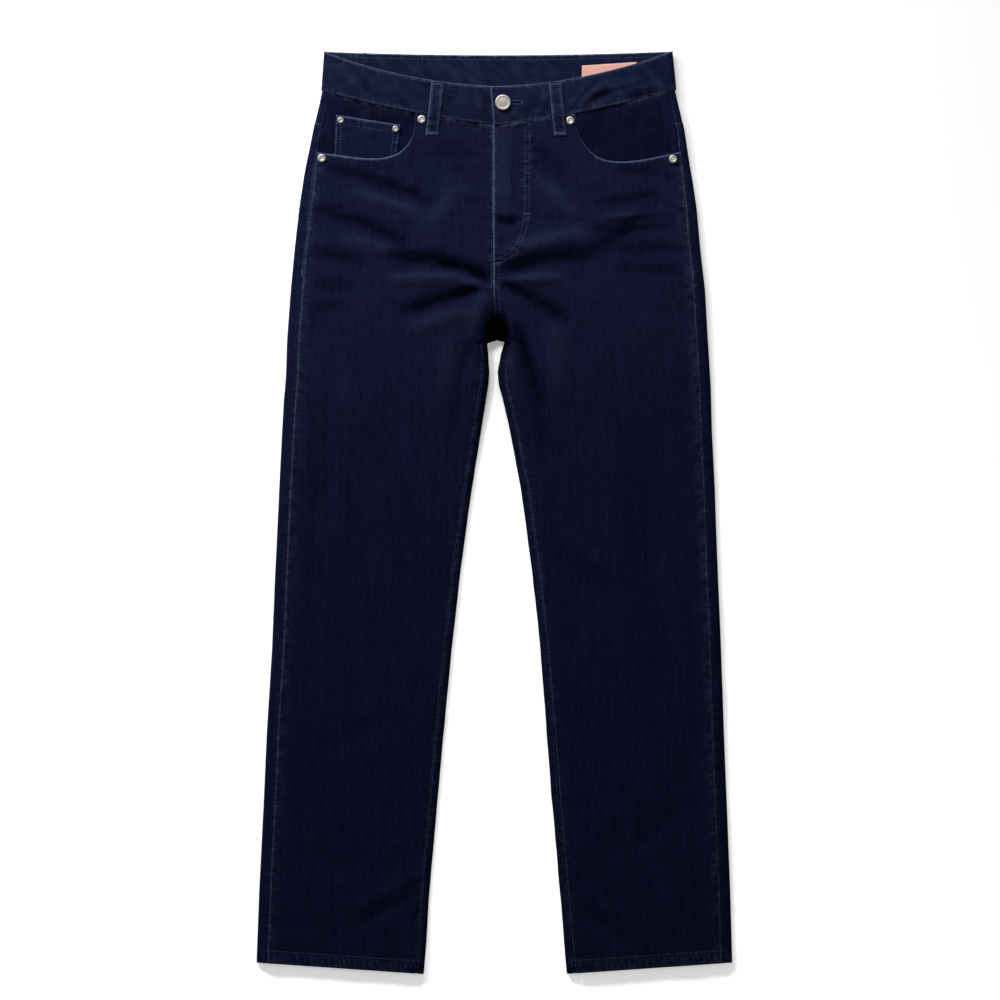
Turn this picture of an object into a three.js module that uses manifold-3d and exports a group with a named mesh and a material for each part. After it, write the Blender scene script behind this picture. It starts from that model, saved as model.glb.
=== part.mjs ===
// Straight-leg five-pocket denim jeans, laid flat on their back and seen from above.
// Millimetres, +Z up. The waist points to +Y and the wearer's left leg to +X. Before the last line moves the
// garment, x is 0 on the centre front and y is 0 at the crotch. Both legs are flattened tubes: one lofted body is
// offset to give each layer of cloth, and outlines in plan cut the layers into the pieces a maker would sew.
import * as THREE from "three";
import { mergeVertices } from "three/addons/utils/BufferGeometryUtils.js";
import Module from "manifold-3d";

const wasm = await Module();
wasm.setup();

// ---------------------------------------------------------------------------------- driving dimensions
const cloth = 1.2; // one layer of denim
const band = 2.4; // waistband, two layers
const seam = 0.3; // clearance between neighbouring pieces
const sideFlap = { waist: 8, hip: 13 }; // back cloth that wraps round to the front, side seam to fold
const inseamFlap = 8; // the same, inseam to inner fold
const waistbandHeight = 43;
const yokeDepth = { side: 36, centre: 62 };
const middle = 0.45; // height above the back cloth where front and back are told apart
const tall = 60; // cutting outlines reach this far up and down

// Outline of the laid garment: x of the side folds and of the inner folds at each height y.
const outline = [
  { y: 330, rightSide: -188, leftSide: 190, rightInner: -12, leftInner: 9 },
  { y: 316, rightSide: -189, leftSide: 192, rightInner: -12, leftInner: 9 },
  { y: 274, rightSide: -192, leftSide: 196, rightInner: -12, leftInner: 9 },
  { y: 231, rightSide: -202, leftSide: 206, rightInner: -12, leftInner: 9 },
  { y: 187, rightSide: -211, leftSide: 213, rightInner: -12, leftInner: 9 },
  { y: 143, rightSide: -218, leftSide: 220, rightInner: -12, leftInner: 9 },
  { y: 99, rightSide: -223, leftSide: 224, rightInner: -12, leftInner: 9 },
  { y: 55, rightSide: -227, leftSide: 229, rightInner: -12, leftInner: 9 },
  { y: 0, rightSide: -231, leftSide: 232, rightInner: -12, leftInner: 9 },
  { y: -16, rightSide: -231.5, leftSide: 233, rightInner: -9, leftInner: 3.5 },
  { y: -35, rightSide: -232, leftSide: 234, rightInner: -7.5, leftInner: 0 },
  { y: -50, rightSide: -233, leftSide: 235, rightInner: -8.8, leftInner: 1.5 },
  { y: -66, rightSide: -234.5, leftSide: 235.5, rightInner: -11.5, leftInner: 6 },
  { y: -99, rightSide: -236.5, leftSide: 236.5, rightInner: -16.5, leftInner: 13 },
  { y: -165, rightSide: -240, leftSide: 240, rightInner: -27.5, leftInner: 26 },
  { y: -253, rightSide: -244, leftSide: 243, rightInner: -39.5, leftInner: 38 },
  { y: -341, rightSide: -247.5, leftSide: 246.5, rightInner: -49.5, leftInner: 47.5 },
  { y: -429, rightSide: -253, leftSide: 249.5, rightInner: -58, leftInner: 54.5 },
  { y: -517, rightSide: -257, leftSide: 253, rightInner: -66, leftInner: 61.5 },
  { y: -605, rightSide: -261.5, leftSide: 256.5, rightInner: -73.5, leftInner: 69 },
  { y: -710, rightSide: -265.5, leftSide: 259.5, rightInner: -81.5, leftInner: 78 },
];

// Level of the lowest cloth, and the air between the two layers, at each height y. The back is raised where
// the belt loops and the back pockets lie under it, and flat on the ground along the legs.
const levels = [
  { y: 330, under: 3, gap: 3.8 },
  { y: 228, under: 3, gap: 3.8 },
  { y: 187, under: 1.5, gap: 3.8 },
  { y: -30, under: 1.5, gap: 3.8 },
  { y: -120, under: 0, gap: 3.6 },
  { y: -640, under: 0, gap: 3.6 },
  { y: -680, under: 0, gap: 4.6 },
  { y: -710, under: 0, gap: 4.6 },
];

// The largest folds of the front: soft troughs (negative) and ridges from one point to another.
const folds = [
  { x1: -112, y1: 90, x2: -40, y2: 82, wide: 13, high: -1.5 },
  { x1: -40, y1: 82, x2: -8, y2: 66, wide: 11, high: -1.7 },
  { x1: -96, y1: 34, x2: -16, y2: 56, wide: 12, high: -1.4 },
  { x1: -178, y1: 168, x2: -92, y2: 128, wide: 14, high: -0.9 },
  { x1: -110, y1: 62, x2: -40, y2: 64, wide: 12, high: 1.0 },
  { x1: 8, y1: 74, x2: 104, y2: 92, wide: 13, high: -1.6 },
  { x1: 12, y1: 54, x2: 88, y2: 30, wide: 13, high: -1.2 },
  { x1: 24, y1: 8, x2: 56, y2: -130, wide: 12, high: -1.3 },
  { x1: 96, y1: 118, x2: 172, y2: 142, wide: 13, high: -1.0 },
  { x1: 24, y1: 98, x2: 96, y2: 118, wide: 12, high: 0.9 },
  { x1: -2, y1: 38, x2: -2, y2: -4, wide: 15, high: -2.2 },
];

// Heights of the loft's sections, close together round the crotch and the hips.
const stations = [
  330, 298, 274, 250, 228, 205, 187, 168, 150, 134, 118, 104, 92, 80, 68, 56, 44, 32, 20, 9, 0, -3, -16, -26,
  -35, -50, -66, -99, -130, -165, -209, -253, -341, -429, -517, -605, -650, -680, -710,
];
const topColumns = 11; // points across the front of one leg
const foldSteps = 4; // facets round a fold

// The front pockets' mouths, from the corner at the waist seam to the one at the side seam.
const mouth = [
  { rightX: -89.9, rightY: 246, leftX: 85.5, leftY: 244.5 },
  { rightX: -90.9, rightY: 231, leftX: 90.2, leftY: 226.6 },
  { rightX: -97.2, rightY: 215.6, leftX: 98.7, leftY: 211.4 },
  { rightX: -109.1, rightY: 204.7, leftX: 112, leftY: 200.1 },
  { rightX: -125.5, rightY: 199.8, leftX: 130.9, leftY: 195.8 },
  { rightX: -143.8, rightY: 199.2, leftX: 151.8, leftY: 196.7 },
  { rightX: -164, rightY: 201.3, leftX: 171, leftY: 199.8 },
  { rightX: -197, rightY: 205.8, leftX: 200, leftY: 206 },
];

// Pieces under or on the main cloth. Offsets are heights above the front cloth's inside face.
const facing = { rightTop: -1.4, leftTop: -0.3, thick: 1.0, underFront: 15, underBand: 5, underSide: 3 };
const coin = { top: -0.3, thick: 0.8, left: -176.5, right: -106.5, leftY: 247, rightY: 236, low: 189, flare: 3 };
const hem = { deep: 16, thick: 1.2 };
const loop = { wide: 13.4, thick: 1.5, stand: 0.7, grip: 6, reach: 20 };
const loops = [
  { name: "belt_loop_front_right", x: -65.2, lean: -6.3, front: true },
  { name: "belt_loop_front_left", x: 63.2, lean: 6.6, front: true },
  { name: "belt_loop_side_right", x: -128, lean: 0, front: false },
  { name: "belt_loop_side_left", x: 128, lean: 0, front: false },
  { name: "belt_loop_centre_back", x: 0, lean: 0, front: false },
];
const backPocket = { inner: 38, outer: 172, top: 178, rise: 6, taper: 9, shoulder: 62, point: 38, thick: 1.2 };
const fly = { bandTopX: -7.7, bandLowX: -3.9, tongueEnd: 34, step: 6 };
const button = { x: 6.5, y: 260.5, radius: 8.5, rim: 1.2, high: 2.8, shank: 2.6, sides: 20 };
const buttonhole = { eye: 3.4, end: 28, wide: 1.2 };
const rivetLarge = { radius: 4.7, high: 2.0 };
const rivetSmall = { radius: 3.6, high: 1.6 };
const rivets = [
  { name: "rivet_right_waist", x: -82.8, y: 242.2, size: rivetLarge, on: cloth },
  { name: "rivet_right_side", x: -192.6, y: 199.6, size: rivetLarge, on: cloth },
  { name: "rivet_left_waist", x: 80.4, y: 240.9, size: rivetLarge, on: cloth },
  { name: "rivet_left_side", x: 193.4, y: 198.6, size: rivetLarge, on: cloth },
  { name: "rivet_coin_outer", x: -171.8, y: 241.4, size: rivetSmall, on: coin.top },
  { name: "rivet_coin_inner", x: -111.6, y: 231.8, size: rivetSmall, on: coin.top },
];
const label = { left: 93.4, wide: 60, top: 301.5, high: 24, lean: 0.066, thick: 0.6 };

// ---------------------------------------------------------------------------------- curves and levels
function between(rows, column, y) {
  let i = 0;
  while (i < rows.length - 2 && rows[i + 1].y > y) i += 1;
  const a = rows[i];
  const b = rows[i + 1];
  const t = THREE.MathUtils.clamp((a.y - y) / (a.y - b.y), 0, 1);
  return THREE.MathUtils.lerp(a[column], b[column], t);
}

// side is -1 for the wearer's right leg and 1 for the left.
const sideFold = (side, y) => between(outline, side < 0 ? "rightSide" : "leftSide", y);
const innerFold = (side, y) => between(outline, side < 0 ? "rightInner" : "leftInner", y);
const frontSeamY = (x) => 235 + 0.1247 * Math.abs(x) + 0.000387 * x * x;
const frontTopY = (x) => 278.5 + 0.03 * Math.abs(x) + 0.00088 * x * x;
const backTopY = (x) => 313 + 0.00011 * x * x;
const backSeamY = (x) => backTopY(x) - waistbandHeight;
const hemY = (side, x) => -684.5 - (side < 0 ? x + 264.5 : 258.5 - x) * 0.0685;
const flyEdgeX = -4.5; // the folded edge of the left front, on top of the right one

function sideSeamX(side, y) {
  const t = THREE.MathUtils.smoothstep(y, 120, 250);
  return sideFold(side, y) - side * THREE.MathUtils.lerp(sideFlap.hip, sideFlap.waist, t);
}

// The inner edge of a front: centre front above the crotch, inseam below it.
function frontInnerX(side, y) {
  const inseam = innerFold(side, y) + side * inseamFlap;
  const t = THREE.MathUtils.smoothstep(y, -30, 34);
  return THREE.MathUtils.lerp(inseam, flyEdgeX, t);
}

function foldHeight(x, y) {
  let total = 0;
  for (const f of folds) {
    const dx = f.x2 - f.x1;
    const dy = f.y2 - f.y1;
    const along = ((x - f.x1) * dx + (y - f.y1) * dy) / (dx * dx + dy * dy);
    const t = THREE.MathUtils.clamp(along, 0, 1);
    const away = Math.hypot(x - f.x1 - t * dx, y - f.y1 - t * dy);
    total += f.high * Math.exp(-((away / f.wide) ** 2));
  }
  return total;
}

const underZ = (y) => between(levels, "under", y);
// Inside face of the front cloth.
const ceilingZ = (x, y) => underZ(y) + cloth + Math.max(0.9, between(levels, "gap", y) + foldHeight(x, y));

// ---------------------------------------------------------------------------------- solids
function solid(positions, triangles) {
  const make = (tris) =>
    new wasm.Manifold(
      new wasm.Mesh({ numProp: 3, vertProperties: new Float32Array(positions), triVerts: new Uint32Array(tris) }),
    );
  const made = make(triangles);
  if (made.volume() > 0) return made;
  const turned = [];
  for (let i = 0; i < triangles.length; i += 3) turned.push(triangles[i], triangles[i + 2], triangles[i + 1]);
  return make(turned);
}

// A closed loft through rings of equal length, with a fan at each end.
function loft(rings) {
  const count = rings[0].length;
  const positions = rings.flat(2);
  const triangles = [];
  for (let r = 0; r + 1 < rings.length; r += 1) {
    for (let i = 0; i < count; i += 1) {
      const a = r * count + i;
      const b = r * count + ((i + 1) % count);
      triangles.push(a, b, a + count, b, b + count, a + count);
    }
  }
  const last = (rings.length - 1) * count;
  for (let i = 1; i + 1 < count; i += 1) {
    triangles.push(0, i + 1, i, last, last + i, last + i + 1);
  }
  return solid(positions, triangles);
}

// Half width of the flattened tube's hollow at a fold: its own radius.
const foldRadius = (side, y) => (ceilingZ(sideFold(side, y) - side * 3, y) - underZ(y) - cloth) / 2;

// x of the points across the front of one leg, from the side fold's end to the inner end.
function columnsAt(side, y) {
  const radius = foldRadius(side, y);
  const outer = sideFold(side, y) - side * (cloth + radius);
  const joined = y > -2; // above the crotch the two halves run into each other
  const inner = joined ? -side * 3 : innerFold(side, y) + side * (cloth + radius);
  const xs = [];
  for (let i = 0; i < topColumns; i += 1) xs.push(THREE.MathUtils.lerp(outer, inner, i / (topColumns - 1)));
  return { xs, radius, joined };
}

// One section of a leg's tube with its surface moved out by offset.
function tubeRing(side, y, offset) {
  const { xs, radius, joined } = columnsAt(side, y);
  const floor = underZ(y) + cloth;
  const ring = xs.map((x) => [x, y, ceilingZ(x, y) + offset]);
  const inner = xs[xs.length - 1];
  const innerHigh = ceilingZ(inner, y) + offset;
  const innerLow = floor - offset;
  for (let k = 1; k < foldSteps; k += 1) {
    const turn = (Math.PI * k) / foldSteps;
    const reach = joined ? 0 : (innerHigh - innerLow) / 2;
    const z = (innerHigh + innerLow) / 2 + Math.cos(turn) * ((innerHigh - innerLow) / 2);
    ring.push([inner - side * Math.sin(turn) * reach, y, z]);
  }
  for (const t of [1, 0.5, 0]) ring.push([THREE.MathUtils.lerp(xs[0], inner, t), y, floor - offset]);
  for (let k = 1; k < foldSteps; k += 1) {
    const turn = (Math.PI * k) / foldSteps;
    const r = radius + offset;
    ring.push([xs[0] + side * Math.sin(turn) * r, y, floor + radius - Math.cos(turn) * r]);
  }
  return ring;
}

// Both legs' tubes as one body, with the surface moved out by offset, from the height top downwards.
function body(offset, top = stations[0]) {
  const rows = stations.filter((y) => y <= top);
  const legs = [-1, 1].map((side) => loft(rows.map((y) => tubeRing(side, y, offset))));
  return legs[0].add(legs[1]);
}

// Everything under the front's inside face moved up by offset, above the crotch.
function underFront(offset) {
  const rows = stations.filter((y) => y > 100);
  const halves = [-1, 1].map((side) =>
    loft(
      rows.map((y) => {
        const { xs } = columnsAt(side, y);
        const top = xs.map((x) => [x, y, ceilingZ(x, y) + offset]);
        return [...top, [xs.at(-1), y, -tall], [xs[0], y, -tall]];
      }),
    ),
  );
  return halves[0].add(halves[1]);
}

// A layer of cloth that follows the front's inside face, between two heights above it.
const frontLayer = (low, high) => underFront(high).subtract(underFront(low));

// A plan outline, [x, y] pairs, cut straight up from low to high.
function prism(points, low = -tall, high = tall) {
  const shape = new THREE.Shape(points.map(([x, y]) => new THREE.Vector2(x, y)));
  const geometry = new THREE.ExtrudeGeometry(shape, { depth: high - low, bevelEnabled: false, curveSegments: 8 });
  geometry.translate(0, 0, low);
  return fromGeometry(geometry);
}

function fromGeometry(geometry) {
  const plain = geometry.clone();
  plain.deleteAttribute("normal");
  plain.deleteAttribute("uv");
  const merged = mergeVertices(plain, 1e-4);
  return solid(merged.attributes.position.array, Array.from(merged.index.array));
}

function toGeometry(manifold) {
  const mesh = manifold.getMesh();
  const geometry = new THREE.BufferGeometry();
  geometry.setAttribute("position", new THREE.BufferAttribute(new Float32Array(mesh.vertProperties), 3));
  geometry.setIndex(Array.from(mesh.triVerts));
  geometry.computeVertexNormals();
  return geometry;
}

// Points of a curve across the garment, at both ends and at each multiple of 12 between them.
function across(curve, from, to) {
  const [low, high] = from < to ? [from, to] : [to, from];
  const xs = [low, high];
  for (let x = Math.ceil(low / 12) * 12; x < high; x += 12) if (x - low > 1 && high - x > 1) xs.push(x);
  xs.sort((a, b) => (from < to ? a - b : b - a));
  return xs.map((x) => [x, curve(x)]);
}

const range = (from, to, steps) => Array.from({ length: steps + 1 }, (_, i) => from + ((to - from) * i) / steps);
const heights = (from, to) => [from, ...stations.filter((y) => y < from - 2 && y > to + 2), to];

// All space above, or below, the surface that parts the front cloth from the back cloth.
function zone(above) {
  const end = above ? tall : -tall;
  return loft(
    stations.map((y) => {
      const z = underZ(y) + cloth + middle;
      return [
        [-320, y, z],
        [320, y, z],
        [320, y, end],
        [-320, y, end],
      ];
    }),
  );
}

// ---------------------------------------------------------------------------------- outlines in plan
const mouthPoints = (side) => mouth.map((p) => (side < 0 ? [p.rightX, p.rightY] : [p.leftX, p.leftY]));

// The front's cut between its seams, with the pocket mouth still closed.
function frontZone(side) {
  const top = across(frontSeamY, sideSeamX(side, 264), -side * 8);
  const inner = heights(230, -715).map((y) => [y > 40 ? -side * 8 : frontInnerX(side, y), y]);
  const outer = heights(262, -715).map((y) => [sideSeamX(side, y), y]).reverse();
  return [...top, ...inner, ...outer];
}

// The front as sewn: pocket mouth cut away, inner edge on the centre front, clear of its neighbours.
function frontCut(side) {
  const open = mouthPoints(side);
  const shift = (y) => (side < 0 || y < 40 ? side * seam : 0); // the left front ends on the fly edge
  const top = across(frontSeamY, flyEdgeX + shift(235), open[0][0]).map(([x, y]) => [x, y - seam]);
  const lowCorner = [sideSeamX(side, 204) - side * seam, open.at(-1)[1]];
  const outer = heights(198, -715).map((y) => [sideSeamX(side, y) - side * seam, y]);
  const inner = heights(230, -715).map((y) => [frontInnerX(side, y) + shift(y), y]);
  return [...top, ...open.slice(1, -1), lowCorner, ...outer, ...inner.reverse()];
}

// Everything above one leg's hem line, raised by rise.
function aboveHem(side, rise = 0) {
  const [a, b] = side < 0 ? [-320, 12] : [-12, 320];
  return prism([
    [a, hemY(side, a) + rise],
    [b, hemY(side, b) + rise],
    [b, 400],
    [a, 400],
  ]);
}

// Everything below a line across the garment.
function below(lineY) {
  return prism([[-324, -800], [324, -800], ...across(lineY, 324, -324)]);
}

const half = (side, inset) => {
  const a = side * inset;
  const b = side * 320;
  return prism([[a, -800], [b, -800], [b, 400], [a, 400]]);
};

// ---------------------------------------------------------------------------------- the main cloth
const inside = body(0);
const wall = body(cloth).subtract(inside);
const upper = zone(true);
const lower = zone(false);

const fronts = prism(frontZone(-1)).add(prism(frontZone(1))).intersect(upper);

const frontPanel = (side) => wall.intersect(prism(frontCut(side))).intersect(upper).intersect(aboveHem(side));

// The seam between yoke and back leg, a shallow V.
function yokeY(x) {
  const out = Math.min(1, Math.abs(x) / 200);
  return backSeamY(x) - THREE.MathUtils.lerp(yokeDepth.centre, yokeDepth.side, out);
}

// The whole back of one leg, with the flaps that wrap round to the front.
function backOf(side) {
  const opened = wall
    .subtract(fronts)
    .intersect(half(side, seam / 2))
    .intersect(aboveHem(side));
  const underneath = opened.intersect(below((x) => backSeamY(x) - seam)).intersect(lower);
  const wrapped = opened.intersect(below((x) => frontSeamY(x) - seam)).intersect(upper);
  return underneath.add(wrapped);
}

// The hem's turned-up cloth, inside the leg.
function hemRing(side) {
  const layer = body(-seam, -600).subtract(body(-seam - hem.thick, -600));
  return layer.intersect(aboveHem(side)).subtract(aboveHem(side, hem.deep)).intersect(half(side, 20));
}

// ---------------------------------------------------------------------------------- waistband
function waistband() {
  const ring = body(band).subtract(inside);
  const strip = (topY, seamY) => prism([...across(topY, -228, 228), ...across(seamY, 228, -228)]);
  const back = ring.intersect(strip(backTopY, backSeamY)).intersect(lower);
  const overlapEnd = prism([
    [fly.bandLowX, 200],
    [230, 200],
    [230, 340],
    [fly.bandTopX, 340],
    [fly.bandTopX, 276],
  ]);
  const underEnd = prism([
    [-230, 200],
    [fly.bandLowX - seam, 200],
    [fly.bandTopX - seam, 276],
    [fly.bandTopX - seam, 340],
    [-230, 340],
  ]);
  const front = ring.intersect(strip(frontTopY, frontSeamY)).intersect(upper);
  const left = front.intersect(overlapEnd).subtract(buttonholeCut());
  // The right end steps down under the left one and carries the button.
  const under = prism([
    [fly.bandTopX - fly.step, frontSeamY(0) + 1.5],
    [fly.tongueEnd, frontSeamY(fly.tongueEnd) + 1.5],
    [fly.tongueEnd, frontTopY(fly.tongueEnd) - 1.5],
    [fly.bandTopX - fly.step, frontTopY(0) - 1.5],
  ]);
  const tongue = frontLayer(-seam - band, -seam).intersect(under);
  const step = frontLayer(-seam - band, band).intersect(under).intersect(underEnd);
  return back.add(left).add(front.intersect(underEnd)).add(step).add(tongue);
}

function buttonholeCut() {
  const eye = new THREE.Shape().absarc(button.x, button.y, buttonhole.eye, 0, 2 * Math.PI);
  const round = prism(eye.getPoints(5).slice(0, -1).map((p) => [p.x, p.y]));
  const low = button.y - buttonhole.wide / 2;
  const slit = prism([
    [button.x, low],
    [buttonhole.end, low],
    [buttonhole.end, low + buttonhole.wide],
    [button.x, low + buttonhole.wide],
  ]);
  return round.add(slit);
}

// A belt loop: a strap fast at both ends and standing off the band between them.
function beltLoop({ x, lean, front }) {
  const topY = front ? frontTopY(x) - 0.5 : backTopY(x) - 1;
  const seamLine = front ? frontSeamY(x) : backSeamY(x);
  const lowY = seamLine - loop.reach;
  const bandFace = ceilingZ(x, 274) + band + seam;
  const clothFace = ceilingZ(x, 228) + cloth + seam;
  const path = front
    ? [
        { y: topY, z: bandFace },
        { y: topY - loop.grip, z: bandFace },
        { y: topY - 2 * loop.grip, z: bandFace + loop.stand },
        { y: seamLine, z: bandFace + loop.stand },
        { y: lowY + loop.grip, z: clothFace },
        { y: lowY, z: clothFace },
      ]
    : [
        { y: topY, z: 0 },
        { y: lowY, z: 0 },
      ];
  return loft(
    path.map(({ y, z }) => {
      const middleX = x + (lean * (topY - y)) / (topY - lowY);
      const [a, b] = [middleX - loop.wide / 2, middleX + loop.wide / 2];
      return [[a, y, z], [b, y, z], [b, y, z + loop.thick], [a, y, z + loop.thick]];
    }),
  );
}

// ---------------------------------------------------------------------------------- pockets and label
function pocketFacing(side) {
  const open = mouthPoints(side);
  const deep = open.slice(1).map(([x, y], i) => {
    const turn = Math.min(1, (i + 1) / 3); // the margin runs inwards at the waist and downwards at the hip
    return [x - side * facing.underFront * (1 - turn), y - facing.underFront * turn];
  });
  const outer = range(210, 262, 3).map((y) => [sideSeamX(side, y) + side * facing.underSide, y]);
  const top = range(outer.at(-1)[0], open[0][0] - side * facing.underFront, 6).map((x) => [
    x,
    frontSeamY(x) + facing.underBand,
  ]);
  deep[deep.length - 1] = [sideSeamX(side, 192) + side * facing.underSide, deep.at(-1)[1]];
  const level = side < 0 ? facing.rightTop : facing.leftTop; // the right one lies under the coin pocket
  return frontLayer(level - facing.thick, level).intersect(prism([...deep, ...outer, ...top]));
}

function coinPocket() {
  const outline = prism([
    [coin.left, coin.leftY],
    [coin.left - coin.flare, coin.low],
    [coin.right - 2 * coin.flare, coin.low],
    [coin.right, coin.rightY],
  ]);
  return frontLayer(coin.top - coin.thick, coin.top).intersect(outline);
}

function rearPocket(side) {
  const { inner, outer, top, rise, taper, shoulder, point, thick } = backPocket;
  const middleX = (inner + outer) / 2;
  const outlinePoints = [
    [inner, top],
    [inner + taper, shoulder],
    [middleX, point],
    [outer - taper, shoulder],
    [outer, top + rise],
  ];
  return prism(outlinePoints.map(([x, y]) => [side * x, y]), 0, thick);
}

function sizeLabel() {
  const z = underZ(300) + cloth + seam;
  const rise = label.wide * label.lean;
  const { left, wide, top, high, thick } = label;
  return prism([[left, top], [left, top - high], [left + wide, top + rise - high], [left + wide, top + rise]], z, z + thick);
}

// ---------------------------------------------------------------------------------- metal
const lathe = (profile, sides) =>
  new THREE.LatheGeometry(profile.map(([r, z]) => new THREE.Vector2(r, z)), sides).rotateX(Math.PI / 2);

function buttonGeometry() {
  const { radius, rim, high, shank } = button;
  const foot = -band; // the shank stands on the tongue under the buttonhole
  return lathe(
    [
      [0, foot],
      [shank, foot],
      [shank, seam + 0.2],
      [radius - 1, seam + 0.2],
      [radius, seam + 0.8],
      [radius, high - rim],
      [radius - rim, high],
      [radius - 2.2, high - 0.3],
      [0, high],
    ],
    button.sides,
  );
}

function rivetGeometry({ radius, high }) {
  return lathe(
    [
      [0, 0],
      [radius, 0],
      [radius, 0.5],
      [radius * 0.75, high * 0.75],
      [radius * 0.34, high * 0.6],
      [radius * 0.26, high],
      [0, high],
    ],
    12,
  );
}

// ---------------------------------------------------------------------------------- the garment
const materials = {
  denim: new THREE.MeshStandardMaterial({ color: 0x1a2140, roughness: 0.92, metalness: 0 }),
  pocketing: new THREE.MeshStandardMaterial({ color: 0x161d3a, roughness: 0.92, metalness: 0 }),
  nickel: new THREE.MeshStandardMaterial({ color: 0xa8a69c, roughness: 0.35, metalness: 1 }),
  label: new THREE.MeshStandardMaterial({ color: 0xe9a08c, roughness: 0.75, metalness: 0 }),
};

const garment = new THREE.Group();

function add(name, geometry, material, x = 0, y = 0, z = 0) {
  const mesh = new THREE.Mesh(geometry, materials[material]);
  mesh.name = name;
  mesh.position.set(x, y, z);
  garment.add(mesh);
}

for (const side of [-1, 1]) {
  const name = side < 0 ? "right" : "left";
  const back = backOf(side);
  const underYoke = below((x) => yokeY(x) - seam / 2);
  const aboveYoke = below((x) => yokeY(x) + seam / 2);
  add(`front_${name}`, toGeometry(frontPanel(side)), "denim");
  add(`back_${name}`, toGeometry(back.intersect(underYoke)), "denim");
  add(`yoke_${name}`, toGeometry(back.subtract(aboveYoke)), "denim");
  add(`pocket_facing_${name}`, toGeometry(pocketFacing(side)), "pocketing");
  add(`back_pocket_${name}`, toGeometry(rearPocket(side)), "denim");
  add(`hem_${name}`, toGeometry(hemRing(side)), "denim");
}
add("waistband", toGeometry(waistband()), "denim");
add("coin_pocket", toGeometry(coinPocket()), "denim");
for (const strap of loops) add(strap.name, toGeometry(beltLoop(strap)), "denim");
add("size_label", toGeometry(sizeLabel()), "label");
add("button", buttonGeometry(), "nickel", button.x, button.y, ceilingZ(button.x, button.y) + band);
for (const { name, x, y, size, on } of rivets) {
  add(name, rivetGeometry(size), "nickel", x, y, ceilingZ(x, y) + on + seam);
}

// The origin is the centre of the garment's footprint, on the surface that it lies on.
const box = new THREE.Box3().setFromObject(garment, true);
garment.position.set(-(box.min.x + box.max.x) / 2, -(box.min.y + box.max.y) / 2, -box.min.z);

export default garment;
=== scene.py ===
import bpy
import bmesh
import math
import numpy as np
from mathutils import Matrix, Vector
from mathutils.bvhtree import BVHTree


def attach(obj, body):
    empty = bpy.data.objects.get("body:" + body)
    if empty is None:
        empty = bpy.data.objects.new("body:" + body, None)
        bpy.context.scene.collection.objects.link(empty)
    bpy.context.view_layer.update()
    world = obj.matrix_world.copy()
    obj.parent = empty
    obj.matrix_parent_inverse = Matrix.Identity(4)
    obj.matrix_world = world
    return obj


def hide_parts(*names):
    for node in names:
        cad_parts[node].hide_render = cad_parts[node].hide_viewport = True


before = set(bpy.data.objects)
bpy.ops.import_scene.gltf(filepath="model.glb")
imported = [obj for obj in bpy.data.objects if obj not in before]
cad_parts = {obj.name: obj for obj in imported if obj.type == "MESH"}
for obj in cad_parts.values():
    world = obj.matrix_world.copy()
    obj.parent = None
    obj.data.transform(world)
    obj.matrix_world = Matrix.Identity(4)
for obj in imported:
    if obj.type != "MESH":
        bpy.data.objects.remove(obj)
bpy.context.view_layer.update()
random = np.random.default_rng(28)

# All sizes are millimetres from the centre front at the crotch: x to the wearer's left, y up to the waist.
garment = {"shiftX": 2.879, "shiftY": 190.022, "cloth": 1.2, "band": 2.4, "bandHigh": 43, "wall": 1.1,
           "seamGap": 0.3}
rightLeg, leftLeg = -1, 1
legs = (rightLeg, leftLeg)

outline = {
    "y": [-710, -605, -517, -429, -341, -253, -165, -99, -66, -50, -35, -16, 0, 55, 99, 143, 187, 231, 274,
          316, 330],
    "rightSide": [-265.5, -261.5, -257, -253, -247.5, -244, -240, -236.5, -234.5, -233, -232, -231.5, -231,
                  -227, -223, -218, -211, -202, -192, -189, -188],
    "leftSide": [259.5, 256.5, 253, 249.5, 246.5, 243, 240, 236.5, 235.5, 235, 234, 233, 232, 229, 224, 220,
                 213, 206, 196, 192, 190],
    "rightInner": [-81.5, -73.5, -66, -58, -49.5, -39.5, -27.5, -16.5, -11.5, -8.8, -7.5, -9, -12, -12, -12,
                   -12, -12, -12, -12, -12, -12],
    "leftInner": [78, 69, 61.5, 54.5, 47.5, 38, 26, 13, 6, 1.5, 0, 3.5, 9, 9, 9, 9, 9, 9, 9, 9, 9],
}
level = {
    "y": [-710, -680, -640, -120, -30, 187, 228, 330],
    "under": [0, 0, 0, 0, 1.5, 1.5, 3, 3],
    "gap": [4.4, 4.4, 3.6, 3.6, 3.8, 3.8, 3.8, 3.8],
    "beyondX": 400,  # past every crease and fold, where the cloth lies at its plain level
}
flap = {"waist": 8, "hip": 13, "inseam": 8}


def mixed(a, b, t):
    return a + (b - a) * t


def eased(low, high, value):
    t = np.clip((np.asarray(value, float) - low) / (high - low), 0, 1)
    return t * t * (3 - 2 * t)


def bell(away, wide, power=2):
    return np.exp(-((np.abs(away) / wide) ** power))


def sided(name, side):
    return name + ("_right" if side < 0 else "_left")


def sideFold(side, y):
    return np.interp(y, outline["y"], outline["rightSide" if side < 0 else "leftSide"])


def innerFold(side, y):
    return np.interp(y, outline["y"], outline["rightInner" if side < 0 else "leftInner"])


def underZ(y):
    return np.interp(y, level["y"], level["under"])


def frontSeamY(x):
    return 235 + 0.1247 * np.abs(x) + 0.000387 * x * x


def frontTopY(x):
    return 278.5 + 0.03 * np.abs(x) + 0.00088 * x * x


def backTopY(x):
    return 313 + 0.00011 * x * x


def backSeamY(x):
    return backTopY(x) - garment["bandHigh"]


def hemY(side, x):
    return -684.5 - np.where(side < 0, x + 264.5, 258.5 - x) * 0.0685


def yokeY(x):
    return backSeamY(x) - mixed(62, 36, np.minimum(1, np.abs(x) / 200))


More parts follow.
